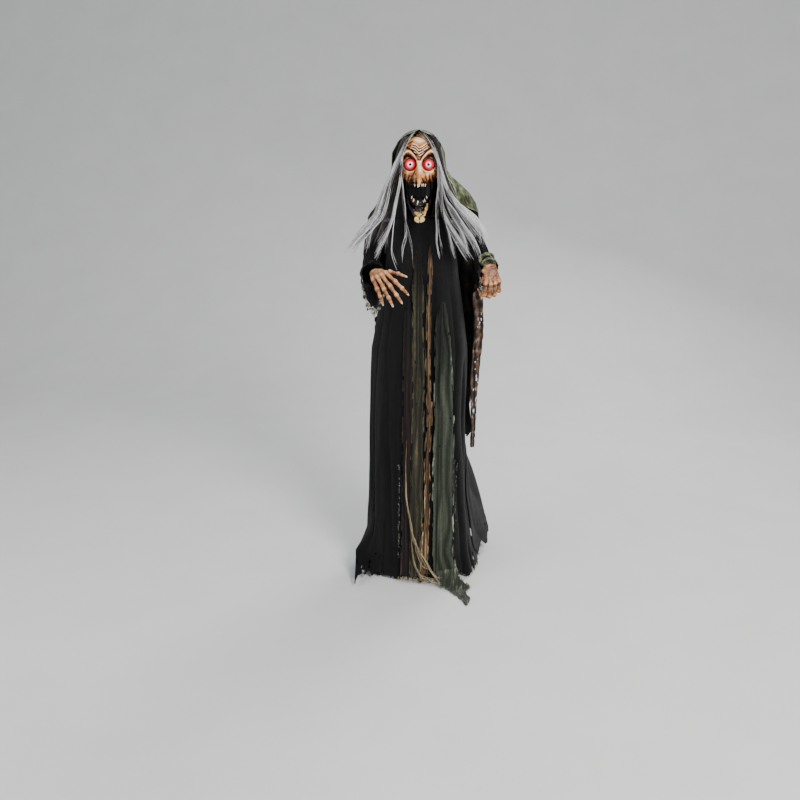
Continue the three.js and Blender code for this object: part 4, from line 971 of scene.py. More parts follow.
def panel(name, table, look, seed, out, bottom, gaps=0.0, wander=4.0, tone_shift=0.0, cols=26, fade=120.0, tail=None,
          crease=None, streaks=0.2):
    """A torn strip of gauze that hangs down the robe's front, from rows of height, edges and lift."""
    table = np.array(table, float)[::-1]
    top = table[-1, 0]
    rows = int((top - bottom) / 6)
    z = np.linspace(top, bottom, rows)[:, None]
    x0, x1, lift = (np.interp(z, table[:, 0], table[:, k]) for k in (1, 2, 3))
    share = np.linspace(0, 1, cols)[None]
    drift = wander * noise(spots(seed, z / 170, 0), 1.0, seed)
    edge = 1.6 * noise(spots(0, z / 16, 0), 1.0, seed + 1)
    x = x0 + drift - edge + (x1 - x0 + 2 * edge) * share
    height = z + 0 * x
    half, _front, _rear, centre, _flare = robe_line(height)
    angle = np.arcsin(np.clip((x - centre) / half, -0.98, 0.98))
    ripple = 1.4 * np.sin(share * 15 + 2.4 * noise(spots(share * 3, height / 130, 0), 1.0, seed + 2))
    sag = 1.6 * fractal(spots(x, height * 0.25, 0), 16, seed + 3, 2)
    grid = robe_point(angle, height, (out + ripple + sag) * (-0.25 + 1.25 * smooth((top - height) / 60)) + lift, 0.25)
    grid[..., 0] = x
    if tail is not None:
        steps = 46
        left, right = (resample(np.vstack([grid[-1, k], line]), steps)[1:] for k,
                       line in ((0, tail[0]), (-1, tail[1])))
        spread_out = left[:, None] + (right - left)[:, None] * share[..., None]
        crumple = np.linspace(0, 1, steps - 1)[:, None] ** 0.5 * 5 * noise(spread_out * [1, 1, 0], 15, seed + 9)
        wave = 2.5 * np.sin(share * 15) * np.linspace(1, 0, steps - 1)[:, None]
        spread_out[..., 2] = np.maximum(spread_out[..., 2] + crumple + wave, 1.4)
        grid = np.concatenate([grid, spread_out])
        run = z[-1, 0] - 5.0 * np.arange(1, steps)[:, None]
        x, height = grid[..., 0], np.concatenate([height, run + 0 * spread_out[..., 0]])
        ripple = np.concatenate([ripple, 0 * spread_out[..., 0]])
        z, x0, x1 = (np.concatenate([v, np.broadcast_to(w, run.shape)]) for v, w in ((z, run), (x0, [0]), (x1, [60])))
        bottom = -900.0
    middle = spots(x * 1.0, height * 0.16, 0)
    holes = noise(middle, 5.2, seed + 4) + 0.4 * noise(middle, 2.4, seed + 5)
    frayed = noise(spots(x, 0, 0), 5, seed + 6) * 20 + 20
    rim = np.minimum(share, 1 - share) * (x1 - x0)
    keep = (cells(holes) < 1.05 - gaps) & (cells(height) > bottom + cells(frayed + 0 * height))
    keep &= ~((cells(rim) < 5) & (cells(holes) > 0.15))
    # Lighter on the ripples' crests: painted highlight. Where a crease is given, its lower side is painted shade, and
    # its raised side and the panel's right edge are painted highlights; the part on the floor is lighter in patches.
    tone = 0.46 + tone_shift + streaks * noise(spots(x * 2, height * 0.05, 0), 9, seed + 7) + 0.1 * ripple
    if crease is not None:
        tone = tone - 0.22 * np.exp(-((x - crease + 3) / 4) ** 2) + 0.16 * np.exp(-((x - crease - 2) / 2) ** 2)
        tone = tone + 0.16 * np.exp(-(((1 - share) * (x1 - x0)) / 3) ** 2)
        tone = tone + 0.3 * (height < 60) * smooth(noise(middle, 4, seed + 10))
    # Painted highlights in patches along the torn edges, fading out near the top; the panel also darkens towards its
    # top.
    glint = (rim < 5) * (noise(middle, 3, seed + 8) > 0) * smooth((top - height) / 120)
    tone = tone + 0.2 * glint - 0.4 * smooth((height - top + fade) / fade)
    return cloth(name, grid, look, THIN_MM, keep, False, tone)


robe = make_robe()
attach(robe, "stand")
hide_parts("robe")

PANEL_OLIVE = [(1292, 4, 12, 0), (1232, -7, 25, 0), (1150, -12, 30, 0), (700, -14, 32, 0), (300, -14, 34, 0),
               (22, -12, 34, 0)]
PANEL_TAN = [(1300, 40, 52, 0), (1200, 38, 52, 0), (1100, 38, 55, 0), (700, 38, 58, 0), (300, 38, 60, 0),
             (40, 30, 60, 0)]
PANEL_GREEN = [(1090, 82, 100, 0), (1020, 69, 113, 0), (940, 66, 123, 0), (700, 66, 140, 0), (400, 66, 142, 0),
               (120, 66, 148, 0), (60, 76, 160, 6)]
GREEN_TAIL = [[(92, -172, 36), (112, -186, 12), (140, -200, 4), (190, -252, 3), (214, -290, 3)],
              [(190, -152, 34), (222, -160, 8), (208, -196, 5), (226, -232, 4), (222, -292, 3)]]
PANEL_UNDER = [(1112, -30, -20, 0), (1040, -44, -8, 0), (700, -50, -8, 0), (300, -52, -8, 0), (20, -54, -8, 0)]

olive = panel("gauze_olive", PANEL_OLIVE, olive_gauze, 71, 6.5, 12, 0.12, 3.0, -0.06, 26, 260)
tan = panel("gauze_tan", PANEL_TAN, tan_gauze, 91, 7.5, 14, 0.2, 5.0, -0.04, 18, 60)
green = panel("gauze_green", PANEL_GREEN, green_gauze, 111, 6.5, 60, 0.0, 1.0, -0.03, 44, 420, GREEN_TAIL, 88, 0.1)
under = panel("cloth_under", PANEL_UNDER, maroon_cloth, 131, 3.0, 8, -0.2, 2.0, -0.08, 24, 300)
# A twisted cord of torn threads crosses the olive panel and frays above the floor; the others are loose ends.
CORD = [(-29, -146, 579), (-32, -150, 438), (-28, -152, 343), (-18, -154, 281), (-4, -156, 213), (16, -158, 143),
        (44, -162, 104), (74, -166, 52), (92, -172, 34)]
CORD_BACK = [(-12, -156, 240), (-4, -160, 150), (10, -164, 78), (34, -170, 40), (66, -174, 30), (88, -176, 28)]


def make_cord():
    rng = np.random.default_rng(161)
    t = np.linspace(0, 1, 60)[None, :, None]
    paths = []
    for route, count, wide in ((CORD, 26, 17.0), (CORD_BACK, 14, 9.0)):
        centre = resample(route, 60)[None]
        turn = rng.uniform(0, 2 * math.pi, (count, 1, 1)) + 26 * t
        frayed = 0.8 + wide * smooth((t - 0.55) / 0.45) * rng.uniform(0.2, 1.2, (count, 1, 1))
        swirl = np.concatenate([np.cos(turn * (1 - 0.6 * smooth((t - 0.5) * 3))), 0.5 * np.sin(turn),
                                0.8 * np.sin(turn)], 2)
        paths.append(centre + swirl * frayed + rng.normal(0, 1.2, (count, 1, 3)) * smooth(t * 2))
    paths = np.concatenate(paths)
    paths[..., 2] = np.maximum(paths[..., 2], 3)
    radii = np.full(paths.shape[:2], 0.5) * rng.uniform(0.6, 1.3, (len(paths), 1))
    verts, faces = tubes(paths, radii)
    tone = np.clip(rng.uniform(0.2, 0.95, (len(paths), 1)) * (0.5 + 0.5 * smooth(t[0, :, 0] * 2.2)), 0, 1)
    return add_mesh("frayed_cord", verts, faces, thread_pale, {"tone": np.repeat(tone.reshape(-1), 3)})


def make_fringe(name, xs, drop, lengths, look, seed, tones, out=9.0):
    """Loose threads at the robe's front, with roots at heights drop above the floor."""
    rng = np.random.default_rng(seed)
    xs = np.asarray(xs) + rng.uniform(-3, 3, len(xs))
    height = rng.uniform(*drop, len(xs))
    half, front, _rear, centre, _flare = robe_line(height)
    y = -(front + out) * np.sqrt(1 - ((xs - centre) / half) ** 2)
    away = spots(rng.normal(0, 0.7, len(xs)), np.full(len(xs), -0.35), rng.normal(0, 0.4, len(xs)))
    return hang_threads(name, spots(xs, y, height), away, rng.uniform(*lengths, len(xs)), 0.8, look, seed,
                        tones=rng.uniform(*tones, len(xs)))


cord = make_cord()
hem_fringe = make_fringe("hem_fringe_beige", np.linspace(-56, 20, 46), (20, 30), (8, 20), thread_pale, 162, (0.55, 1))
lint = make_fringe("lint_threads", np.full(60, -60), (100, 480), (3, 9), lace_thread, 163, (0.5, 1), 5)
green_fringe = make_fringe("green_fringe", np.repeat(np.linspace(142, 152, 5), 12), (60, 560), (4, 12), thread_green,
                           164, (0.5, 1), 7)
for piece in (cord, hem_fringe, lint, green_fringe):
    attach(piece, "stand")

for piece, node, slot_name in ((olive, "panel_olive", "olive_gauze"), (tan, "panel_tan", "tan_gauze"),
                               (green, "panel_green", "grey_gauze"), (under, None, "tan_gauze")):
    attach(piece, "stand")
    if node:
        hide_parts(node)


def make_strip():
    rows = np.array([(1135, 206, 26), (1085, 205, 38), (950, 210, 34), (800, 206, 30), (650, 200, 22), (500, 196, 16)],
                    float)[::-1]
    z = np.linspace(1135, 500, 118)[:, None]
    middle, wide = (np.interp(z, rows[:, 0], rows[:, k]) for k in (1, 2))
    share = np.linspace(-0.5, 0.5, 18)[None]
    rag = 3 * noise(spots(0, z / 20, 0), 1.0, 151)
    x = middle + 3 * np.sin(z / 70) + (wide + rag) * share
    y = 54 - 5 * np.sin(share * 9 + z / 60) + 6 * np.sin(z / 110) + 0 * x
    grid = spots(x, y, z)
    holes = noise(grid * [1, 1, 0.4], 5.5, 152)
    keep = cells(holes) < 0.5
    tone = 0.5 + 0.34 * noise(grid, 16, 153)
    return cloth("gauze_side_strip", grid, strip_gauze, THIN_MM, keep, False, tone)


def make_train(name, degrees, top, ridge, centre, wide, seed, ragged_from):
    """A torn fold of the robe drawn out along a ridge, given as height and place, down to the floor."""
    rows, cols = 84, 90
    down = np.linspace(0, 1, rows)[:, None]
    share = np.linspace(0, 1, cols)[None]
    angle = np.radians(lerp(degrees[0], degrees[1], share)) + 0 * down
    height = lerp(top, 2.5, down) + 0 * share
    grid = robe_point(angle, height, -3.0 + 5.4 * smooth(down / 0.12), 1.0)
    table = np.array(ridge, float)[::-1]
    mid = np.radians(lerp(degrees[0], degrees[1], centre))
    tip = np.concatenate([np.interp(height[:, :1], table[:, 0], table[:, k]) for k in (1, 2)], 1)
    away = tip - robe_point(mid + 0 * height[:, :1], height[:, :1], 2.4, 0.0)[:, 0, :2]
    draw = np.exp(-(np.abs(share - centre) / wide) ** 1.7)
    grid[..., :2] += away[:, None] * draw[..., None]
    ruck = 4 * noise(spots(share * 9 + 0 * down, down * 2 + 0 * share, 0 * height), 1.0, seed)
    grid[..., :2] -= unit_rows(away)[:, None] * (ruck * smooth(down * 3) * (1 - draw * 0.5))[..., None]
    grid[..., 2] += 2.0 * (1 + np.sin(share * 25 + down * 4)) * smooth((down - 0.7) / 0.3)
    lace_noise = noise(grid * [1, 1, 0.6], 9, seed + 1)
    ragged = 1.02 - 0.07 * (1 + noise(spots(share * 14, 0, 0), 1.0, seed + 2))
    keep = cells(down + 0 * share) < cells(ragged + 0 * down)
    keep &= ~((cells(lace_noise) > 0.55) & (cells(down + 0 * share) > ragged_from))
    tone = 0.4 + 0.14 * fractal(grid, 60, seed + 3)
    tone = tone + 0.7 * smooth((down - 0.9) / 0.08) * (lace_noise > 0.25) * (draw > 0.3)
    return cloth(name, grid, black_cloth, CLOTH_MM, keep, False, tone, -1.0)


def unit_rows(v):
    return v / (np.linalg.norm(v, axis=1, keepdims=True) + 1e-9)


flap = make_train("robe_flap", (-104, -34), 250, [(250, -184, -72), (170, -196, -82), (92, -250, -100),
                                                  (50, -240, -150),
                                                  (4, -226, -240)], 0.5, 0.24, 156, 0.6)
train = make_train("robe_train", (98, 184), 560, [(560, 118, 132), (420, 172, 174), (268, 214, 230), (129, 252, 290),
                                                  (4, 270, 322)], 0.5, 0.26, 166, 0.8)
for piece in (flap, train):
    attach(piece, "stand")

strip = make_strip()
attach(strip, "stand")
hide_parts("side_strip")


# ---- Hood and cape: one length of gauze over the head, down the back and round the shoulders.

# Height, half-width to each side, reach back and forward, centre across and along, half the wrap in degrees.
VEIL = [(1676, 2, 2, 2, 2, -3, -42, 176), (1674.5, 16, 16, 20, 20, -3, -42, 172), (1669, 34, 34, 42, 40, -3, -41, 160),
        (1660, 51, 51, 62, 56, -3, -40, 136), (1648, 64, 64, 79, 60, -3, -40, 118),
        (1630, 78, 79, 96, 60, -3, -40, 107),
        (1600, 90, 92, 111, 60, -3, -40, 102), (1571, 94, 96, 118, 60, -3, -40, 100),
        (1543, 95, 101, 120, 60, -3, -38, 100),
        (1523, 98, 116, 122, 60, -2, -33, 101), (1494, 108, 148, 124, 60, 0, -24, 104),
        (1462, 128, 180, 130, 60, 0, -14, 108),
        (1430, 160, 200, 138, 66, 0, -2, 109), (1400, 186, 208, 142, 60, 0, 10, 102),
        (1375, 203, 212, 148, 50, 0, 20, 91),
        (1280, 222, 228, 150, 50, 0, 50, 80), (1150, 218, 224, 158, 50, 0, 50, 76),
        (900, 208, 214, 168, 50, 0, 50, 73),
        (650, 202, 207, 182, 50, 0, 50, 70), (492, 198, 202, 198, 50, 0, 50, 67)]


def make_veil():
    rows, cols = 230, 150
    table = np.array(VEIL, float)
    drop = np.r_[0, np.cumsum(np.hypot(np.diff(table[:, 0]), np.diff(table[:, 3])))]
    at = np.r_[np.linspace(0, drop[14], 110)[:-1], np.linspace(drop[14], drop[-1], rows - 109)]
    z, right, left, back, fore, cx, cy, wrap = (np.interp(at, drop, table[:, k])[:, None] for k in range(8))
    share = np.linspace(-1, 1, cols)[None]
    angle = np.radians(wrap * share) * (1 + 0.25 * (share > 0) * smooth((1645 - z) / 60) * smooth((z - 1390) / 40))
    half = np.where(share < 0, right, left)
    reach = np.where(np.cos(angle) > 0, back, fore)
    height = z + 0 * angle
    below = smooth((1560 - height) / 240)
    low = smooth((1330 - height) / 500)
    sway = noise(spots(angle * 1.2, height / 240, 0), 1.0, 171)
    dent = (2 + 7 * below + 5 * low) * (1 - np.abs(np.sin(7 * angle + 2.6 * sway)) ** 0.8)
    dent += 4 * below * (1 + noise(spots(angle * 5, height / 90, 0), 1.0, 172))
    dent += 1.4 * (1 - below) * (1 + fractal(spots(angle * 60, height, 0), 34, 173, 2))
    scale = smooth((1676 - height) / 40)
    moved = -dent * scale
    x = cx + (half + moved) * np.sin(angle)
    y = cy + (reach + moved) * np.cos(angle)
    upper = smooth((height - 1380) / 140)
    c, s = math.cos(HEAD_YAW), math.sin(HEAD_YAW)
    turn_x, turn_y = x, y + 60
    x = lerp(x, c * turn_x - s * turn_y, upper)
    y = lerp(y, s * turn_x + c * turn_y - 60, upper)
    roll = np.exp(-((1 - np.abs(share)) * wrap / 5.0) ** 2)
    x = x + np.sign(share) * 3.0 * roll * scale
    y = y - 3.5 * roll * scale
    grid = spots(x, y, height)
    rag = 26 * noise(spots(share * 11, 0, 0), 1.0, 174) + 10 * noise(spots(share * 47, 0, 0), 1.0, 175)
    holes = noise(grid * [1, 1, 0.5], 11, 176) + 0.4 * noise(grid, 5, 177)
    edge = (1 - np.abs(share)) * np.radians(wrap) * half
    keep = cells(height) > 518 + cells(rag + 0 * height)
    keep &= ~((cells(holes) > 0.82) & (cells(height) < 1300))
    keep &= ~((cells(edge) < 6) & (cells(holes) > 0.3) & (cells(height) < 1500))
    mottled = 0.2 * fractal(grid * [1, 1, 0.6], 26, 178, 3) + 0.16 * noise(grid * [1, 1, 0.4], 10, 179)
    low_cape = smooth((1400 - height) / 110)
    # The rolled front edges are painted lighter: a painted highlight along the hem; the cape is darker lower down.
    tone = 0.46 + mottled * (1 - 0.45 * low_cape) - 0.36 * low_cape + 0.3 * np.exp(-(edge / 7) ** 2)
    return cloth("hood_and_cape", grid, hood_gauze, CLOTH_MM, keep, False, tone, -1.0)


def make_hood_shade_sheet():
    """A black sheet inside the hood, round the back of the head and down to the robe's neck: painted shade that stands
    in for the dark inside the hood.
    """
    z = np.linspace(1650, 1384, 90)[:, None]
    share = np.linspace(-1, 1, 90)[None]
    half = np.interp(z, [1384, 1420, 1470, 1530, 1600, 1650], [92, 84, 80, 80, 78, 48])
    back = np.interp(z, [1384, 1420, 1470, 1530, 1600, 1650], [70, 74, 84, 96, 94, 60])
    wrap = np.radians(np.interp(z, [1384, 1440, 1480, 1600, 1650], [150, 138, 104, 96, 96]))
    angle = wrap * share
    fore = np.interp(z, [1384, 1440, 1500], [52, 44, 40])
    dent = 3 * (1 - np.abs(np.sin(8 * angle + 1.5 * noise(spots(angle, z / 90, 0), 1.0, 191))))
    reach = np.where(np.cos(angle) > 0, back, fore)
    x = -2 + (half - dent) * np.sin(angle)
    y = -38 + (reach - dent) * np.cos(angle)
    grid = spots(x, y, z)
    tone = 0.34 + 0.12 * fractal(grid, 30, 192)
    return cloth("hood_shade_sheet", grid, black_cloth, CLOTH_MM, None, False, tone, -1.0)


def make_mouth_shade_sheet():
    """A black curtain behind the upper teeth, stepped back to clear the tongue: painted shade, a dark sheet standing
    in for the shade inside the open mouth.
    """
    z = np.linspace(-64, -108, 40)[:, None]
    share = np.linspace(-1, 1, 50)[None]
    x = 36 * share + 0 * z
    y = -58.5 + 26 * np.abs(share) ** 3 + 0.9 * np.sin(share * 17) + 0 * z
    grid = head_to_world(spots(x, y, z))
    tone = 0.2 + 0.12 * fractal(grid, 20, 195)
    return cloth("mouth_shade_sheet", grid, black_cloth, THIN_MM, None, False, tone, -1.0)


mouth = make_mouth_shade_sheet()
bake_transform(mouth)
veil = make_veil()
cowl_shade = make_hood_shade_sheet()
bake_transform(cowl_shade)
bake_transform(veil)
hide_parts("hood", "cape")


# ---- Arms: sleeves, cuffs and bony hands.

SHOULDER_X, BAR_HEIGHT, ELBOW_OFFSET = 168.0, 1368.0, 5.4


def unit(v):
    v = np.asarray(v, float)
    return v / np.linalg.norm(v)


class Arm:
    def __init__(self, name, side, elbow, wrist, palm, back, bends, drop):
        self.name, self.side, self.bends, self.drop = name, side, bends, drop
        self.shoulder = np.array([side * SHOULDER_X, 0, BAR_HEIGHT])
        self.elbow, self.wrist = np.array(elbow, float), np.array(wrist, float)
        self.upper = unit(self.elbow - self.shoulder)
        axis = unit(np.cross(self.upper, unit(self.wrist - self.elbow)))
        self.knee = self.elbow + axis * ELBOW_OFFSET
        self.fore = unit(self.wrist - self.knee)
        self.palm = unit(palm)
        self.back = unit(np.array(back) - self.palm * np.dot(self.palm, back))
        self.thumb = np.cross(self.back, self.palm) if side < 0 else np.cross(self.palm, self.back)

    def at(self, p, t, b):
        return self.wrist + self.palm * p + self.thumb * t + self.back * b

    def finger(self, knuckle, bones, bends, lean):
        points, bend, tilt = [self.at(*knuckle)], 0.0, math.radians(lean)
        for length, turn in zip(bones, bends):
            bend += math.radians(turn)
            level = self.palm * math.cos(bend) - self.back * math.sin(bend)
            step = level * math.cos(tilt) + self.thumb * math.sin(tilt)
            points.append(points[-1] + step * length)
        last_back = self.palm * math.sin(bend) + self.back * math.cos(bend)
        return points, last_back


RIGHT_ARM = Arm("right", -1, (-190, -5, 1168), (-135, -195, 1200), (0.43, -0.9, -0.05), (-0.39, -0.24, 0.87),
                (58, 12, 14), 80)
LEFT_ARM = Arm("left", 1, (240, 15, 1180), (258, -168, 1236), (0.2, -0.28, -0.93), (0.3, -0.93, 0.2), (46, 58, 34), 45)
KNUCKLES = [((66, 24, 0), (46, 32, 26), 16), ((70, 8, 1), (50, 36, 28), 6), ((69, -8, 1), (47, 34, 27), -2),
            ((64, -23, 0), (38, 26, 24), -9)]
THUMB_ROOT = ((22, 20, -3), (34, 30, 24), (20, 25, 25), 42)
THUMB_TUCKED = ((22, 20, -3), (27, 22, 17), (38, 40, 34), 2)


def fingers_of(arm):
    spread = 1.0 if arm.side < 0 else 0.25
    found = [arm.finger(k, bones, arm.bends, lean * spread) for k, bones, lean in KNUCKLES]
    knuckle, bones, bends, lean = THUMB_ROOT if arm.side < 0 else THUMB_TUCKED
    return found + [arm.finger(knuckle, bones, bends, lean)]


def make_hand(arm):
    fingers = fingers_of(arm)

    def rough(p):
        field = capsule(p, arm.wrist - arm.fore * 22, arm.at(40, 0, 0), 14, 20)
        field = np.minimum(field, capsule(p, arm.at(40, -14, 0), arm.at(66, -20, 0), 18, 14))
        field = np.minimum(field, capsule(p, arm.at(40, 14, 0), arm.at(66, 20, 0), 18, 14))
        for points, _back in fingers:
            field = np.minimum(field, chain(p, points, [11, 10, 9, 6]))
        return field

    def fine(p, _):
        field = capsule(p, arm.wrist - arm.fore * 24, arm.wrist + arm.fore * 2, 10, 12)
        for points, _back in fingers[:4]:
            start = arm.at(2, 0.36 * np.dot(points[0] - arm.wrist, arm.thumb), 1)
            field = smooth_min(field, capsule(p, start, points[0], 9.5, 8.0), 7)
        field = smooth_min(field, capsule(p, arm.at(34, -8, -3), arm.at(48, 8, -3), 9, 9), 8)
        field = smooth_min(field, capsule(p, arm.at(8, 6, -2), fingers[4][0][0], 10, 10.5), 8)
        for points, _back in fingers:
            for i, (wide, slim, end) in enumerate(((7.8, 5.6, 7.3), (7.3, 5.2, 6.3), (6.3, 4.6, 3.4))):
                middle = lerp(points[i], points[i + 1], 0.5)
                bone = smooth_min(capsule(p, points[i], middle, wide, slim),
                                  capsule(p, middle, points[i + 1], slim, end), 3)
                field = smooth_min(field, bone, 4)
                if i:
                    knob = np.linalg.norm(p - (points[i] + arm.back * 1.2), axis=1) - (wide + 0.3)
                    field = smooth_min(field, knob, 3)
            for i in (1, 2):
                away = (p - points[i]) @ unit(points[i + 1] - points[i - 1])
                near = np.linalg.norm(p - points[i], axis=1) < 12
                for shift in (-3.2, 0, 3.2):
                    field = field + near * 0.55 * np.exp(-((away - shift) / 0.9) ** 2)
        tendon = noise(p, 7, 201) * 0.5 + 0.45 * fractal(p, 3.6, 203, 2)
        rod = capsule(p, arm.wrist - arm.fore * 40, arm.wrist + arm.fore * 0.4, 5.4, 5.4)
        return np.maximum(field - tendon, -rod)

    low = np.min([points for points, _b in fingers] + [[arm.wrist - arm.fore * 26] * 4], axis=(0, 1)) - 20
    high = np.max([points for points, _b in fingers] + [[arm.wrist - arm.fore * 26] * 4], axis=(0, 1)) + 20
    verts, faces = sculpt(low, high, 1.35, rough, fine, 11)
    relief = cavity(verts, faces, 4)
    # Lighter on ridges and darker in creases from the relief, painted highlights on the knuckles, and lighter where
    # the surface faces up: painted highlights and painted shade.
    tone = 0.3 + 1.3 * relief + 0.18 * noise(verts, 15, 207)
    for points, _back in fingers:
        for i in (0, 1, 2):
            tone += 0.2 * np.exp(-(np.linalg.norm(verts - points[i] - arm.back * 6, axis=1) / 6.5) ** 2)
    tone += 0.18 * vertex_normals(verts, faces)[:, 2]
    return add_mesh(f"hand_sculpt_{arm.name}", verts, faces, hand_skin, {"tone": np.clip(tone, 0, 1)})


def make_nails(arm):
    """Long pale nails: a curved blade on the end of each finger."""
    verts, faces = [], []
    around, stops = 12, 9
    for points, back in fingers_of(arm):
        ahead = unit(points[3] - points[2])
        side = np.cross(ahead, back)
        root = points[3] - ahead * 8.5 + back * 2.4
        t = np.linspace(0, 1, stops)
        line = root + ahead * (t * 17)[:, None] - back * (3.4 * t ** 2)[:, None]
        wide = 3.9 * np.sqrt(np.clip(1 - t ** 2.6, 0.02, 1))
        turn = np.linspace(0, 2 * math.pi, around, endpoint=False)
        base = len(verts) * stops * around
        bulge = 1.25 * np.sin(turn) - 1.2 * np.cos(turn) ** 2
        ring = [line[i] + side * wide[i] * np.cos(turn)[:, None]
                + back * bulge[:, None] * min(1, wide[i] / 2) for i in range(stops)]
        verts.append(np.concatenate(ring))
        for i in range(stops - 1):
            for k in range(around):
                a, b = base + i * around + k, base + i * around + (k + 1) % around
                faces.append([a, b, b + around, a + around])
        faces.append([base + k for k in reversed(range(around))])
        faces.append([base + (stops - 1) * around + k for k in range(around)])
    flat = np.concatenate(verts)
    tone = np.tile(np.repeat(np.linspace(0.35, 0.95, stops), around), len(verts))
    return add_mesh(f"nails_{arm.name}", flat, faces, nail_look, {"tone": tone})


n = Nodes("nail_horn")
n.bump(n.grain(600, 3, (1, 1, 0.4)), 0.25, 0.0004)
nail_look = n.set(tint=n.ramp(toned(n, 260, 0.3), dyes(
    (0.1, 120, 84, 50), (0.5, 206, 180, 134), (0.95, 246, 234, 206))),
    rough=n.spread(n.grain(140), 0.22, 0.4), specular=0.5)


def tube_grid(line, radius, droop, hint, cols, seed, crush=0.12, tilt=0.0):
    """Rings of cloth round a line; droop lets the lower side hang, and hint gives the rings' upward side."""
    line = np.asarray(line, float)
    ahead = np.gradient(line, axis=0)
    ahead /= np.linalg.norm(ahead, axis=1, keepdims=True)
    up = np.asarray(hint, float) - ahead * (ahead @ np.asarray(hint, float))[:, None]
    up /= np.linalg.norm(up, axis=1, keepdims=True)
    side = np.cross(ahead, up)
    turn = 2 * math.pi * np.arange(cols) / cols
    run = np.r_[0, np.cumsum(np.linalg.norm(np.diff(line, axis=0), axis=1))]
    where = spots(np.cos(turn)[None] * 2 + 0 * run[:, None], np.sin(turn)[None] * 2 + 0 * run[:, None],
                  run[:, None] / 42 + 0 * turn[None])
    ridge = 1 - np.abs(np.sin(4.5 * turn[None] + 2.2 * noise(where * [1, 1, 0.5], 1.2, seed)))
    wrinkle = noise(where * [0.6, 0.6, 2.2], 1.0, seed + 1)
    r = radius[:, None] * (1 - crush * ridge * 0.8 + crush * 0.6 * wrinkle)
    outward = side[:, None] * np.cos(turn)[None, :, None] + up[:, None] * np.sin(turn)[None, :, None]
    grid = line[:, None] + outward * r[..., None]
    below = np.clip(-np.sin(turn), 0, 1)[None] ** 1.5
    grid[..., 2] -= droop[:, None] * below
    grid += ahead[:, None] * (tilt * run[:, None] / run[-1] * np.sin(turn)[None])[..., None]
    return grid, turn


def wrap_cols(values):
    return np.concatenate([values, values[:, :1]], 1)


def make_sleeves(arm):
    rows = 64
    t = np.linspace(0, 1, rows)
    start = arm.shoulder + arm.upper * 12 + np.array([-arm.side * 8, 0, 6])
    line = resample([start, arm.shoulder + arm.upper * 70, arm.elbow - arm.upper * 6], rows)
    radius = lerp(25, 33, smooth(t * 1.1)) + 3 * np.sin(t * 5)
    grid, turn = tube_grid(line, radius, 0 * t, (0, -1, 0), 80, 211 + arm.side)
    tone = 0.45 + 0.2 * fractal(grid, 40, 215)
    upper = cloth(f"sleeve_upper_cloth_{arm.name}", grid, black_cloth, CLOTH_MM, None, True, tone)
    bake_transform(upper)
    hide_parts(f"sleeve_upper_{arm.name}")

    fore_length = np.linalg.norm(arm.wrist - arm.knee)
    rows = 84
    t = np.linspace(0, 1, rows)
    line = arm.knee + arm.fore * np.linspace(-24, fore_length - 34, rows)[:, None]
    radius = np.interp(t, [0, 0.03, 0.08, 0.2, 1], [2, 18, 29, 31, 44 if arm.side < 0 else 33])
    droop = arm.drop * smooth(t * 1.05 - 0.1) ** 1.1
    grid, turn = tube_grid(line, radius, droop, (0, 0, 1), 110, 221 + arm.side, 0.16, 6)
    run = np.linspace(0, 1, rows)[:, None] * fore_length
    rag = fore_length - 12 + 14 * noise(spots(np.cos(turn)[None] * 4, np.sin(turn)[None] * 4, 0 * turn[None]),
                                        1.0, 225)
    holes = noise(grid, 7, 227) + 0.5 * noise(grid, 3, 228)
    keep = (cells(wrap_cols(run + 0 * grid[..., 0])) < cells(wrap_cols(rag + 0 * grid[..., 0])))
    keep &= ~((cells(wrap_cols(holes)) > 0.8) & (cells(wrap_cols(run + 0 * grid[..., 0])) > 0.8 * fore_length))
    # Lighter towards the torn end of the sleeve, and the left sleeve lighter all over: painted light on the lit edges
    # and on the lit sleeve.
    tone = 0.42 + 0.2 * fractal(grid, 40, 229) + 0.3 * smooth((run - fore_length * 0.9) / 12)
    if arm.side > 0:
        tone = tone + 0.1
    lower = cloth(f"sleeve_lower_cloth_{arm.name}", grid, black_cloth, CLOTH_MM, keep, True, tone)
    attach(lower, f"forearm_{arm.name}")
    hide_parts(f"sleeve_lower_{arm.name}")

    # A ruffle of lace hangs from the drooping lip of the sleeve.
    lip = grid[-6]
    pick = np.where(np.sin(turn) < (-0.2 if arm.side < 0 else -0.35))[0]
    edge = lip[pick]
    edge = resample(edge, 90)
    falls = np.linspace(0, 1, 22)[:, None, None]
    ruffle = np.linspace(0, 1, 90)[None, :, None]
    hang = edge[None] + np.array([0, 0, -1.0]) * falls * (34 + 6 * np.sin(ruffle * 19))
    hang = hang + np.array([1.0, -0.4, 0]) * np.sin(ruffle * 58) * 4.0 * falls
    hang = hang + np.array([0, -1.0, 0]) * 3 * np.sin(ruffle * 31) * falls
    holes = noise(hang, 3.4, 231)
    fray = falls[..., 0] + 0.28 * noise(hang, 6, 233)
    keep = (cells(np.broadcast_to(holes, hang.shape[:2])) < 0.34) & (cells(fray) < 0.92)
    tone = 0.62 + 0.5 * noise(hang, 6, 235)
    cuff = cloth(f"lace_cuff_{arm.name}", hang, lace, LACE_MM, keep, False, tone)
    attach(cuff, f"forearm_{arm.name}")
    return upper, lower, cuff


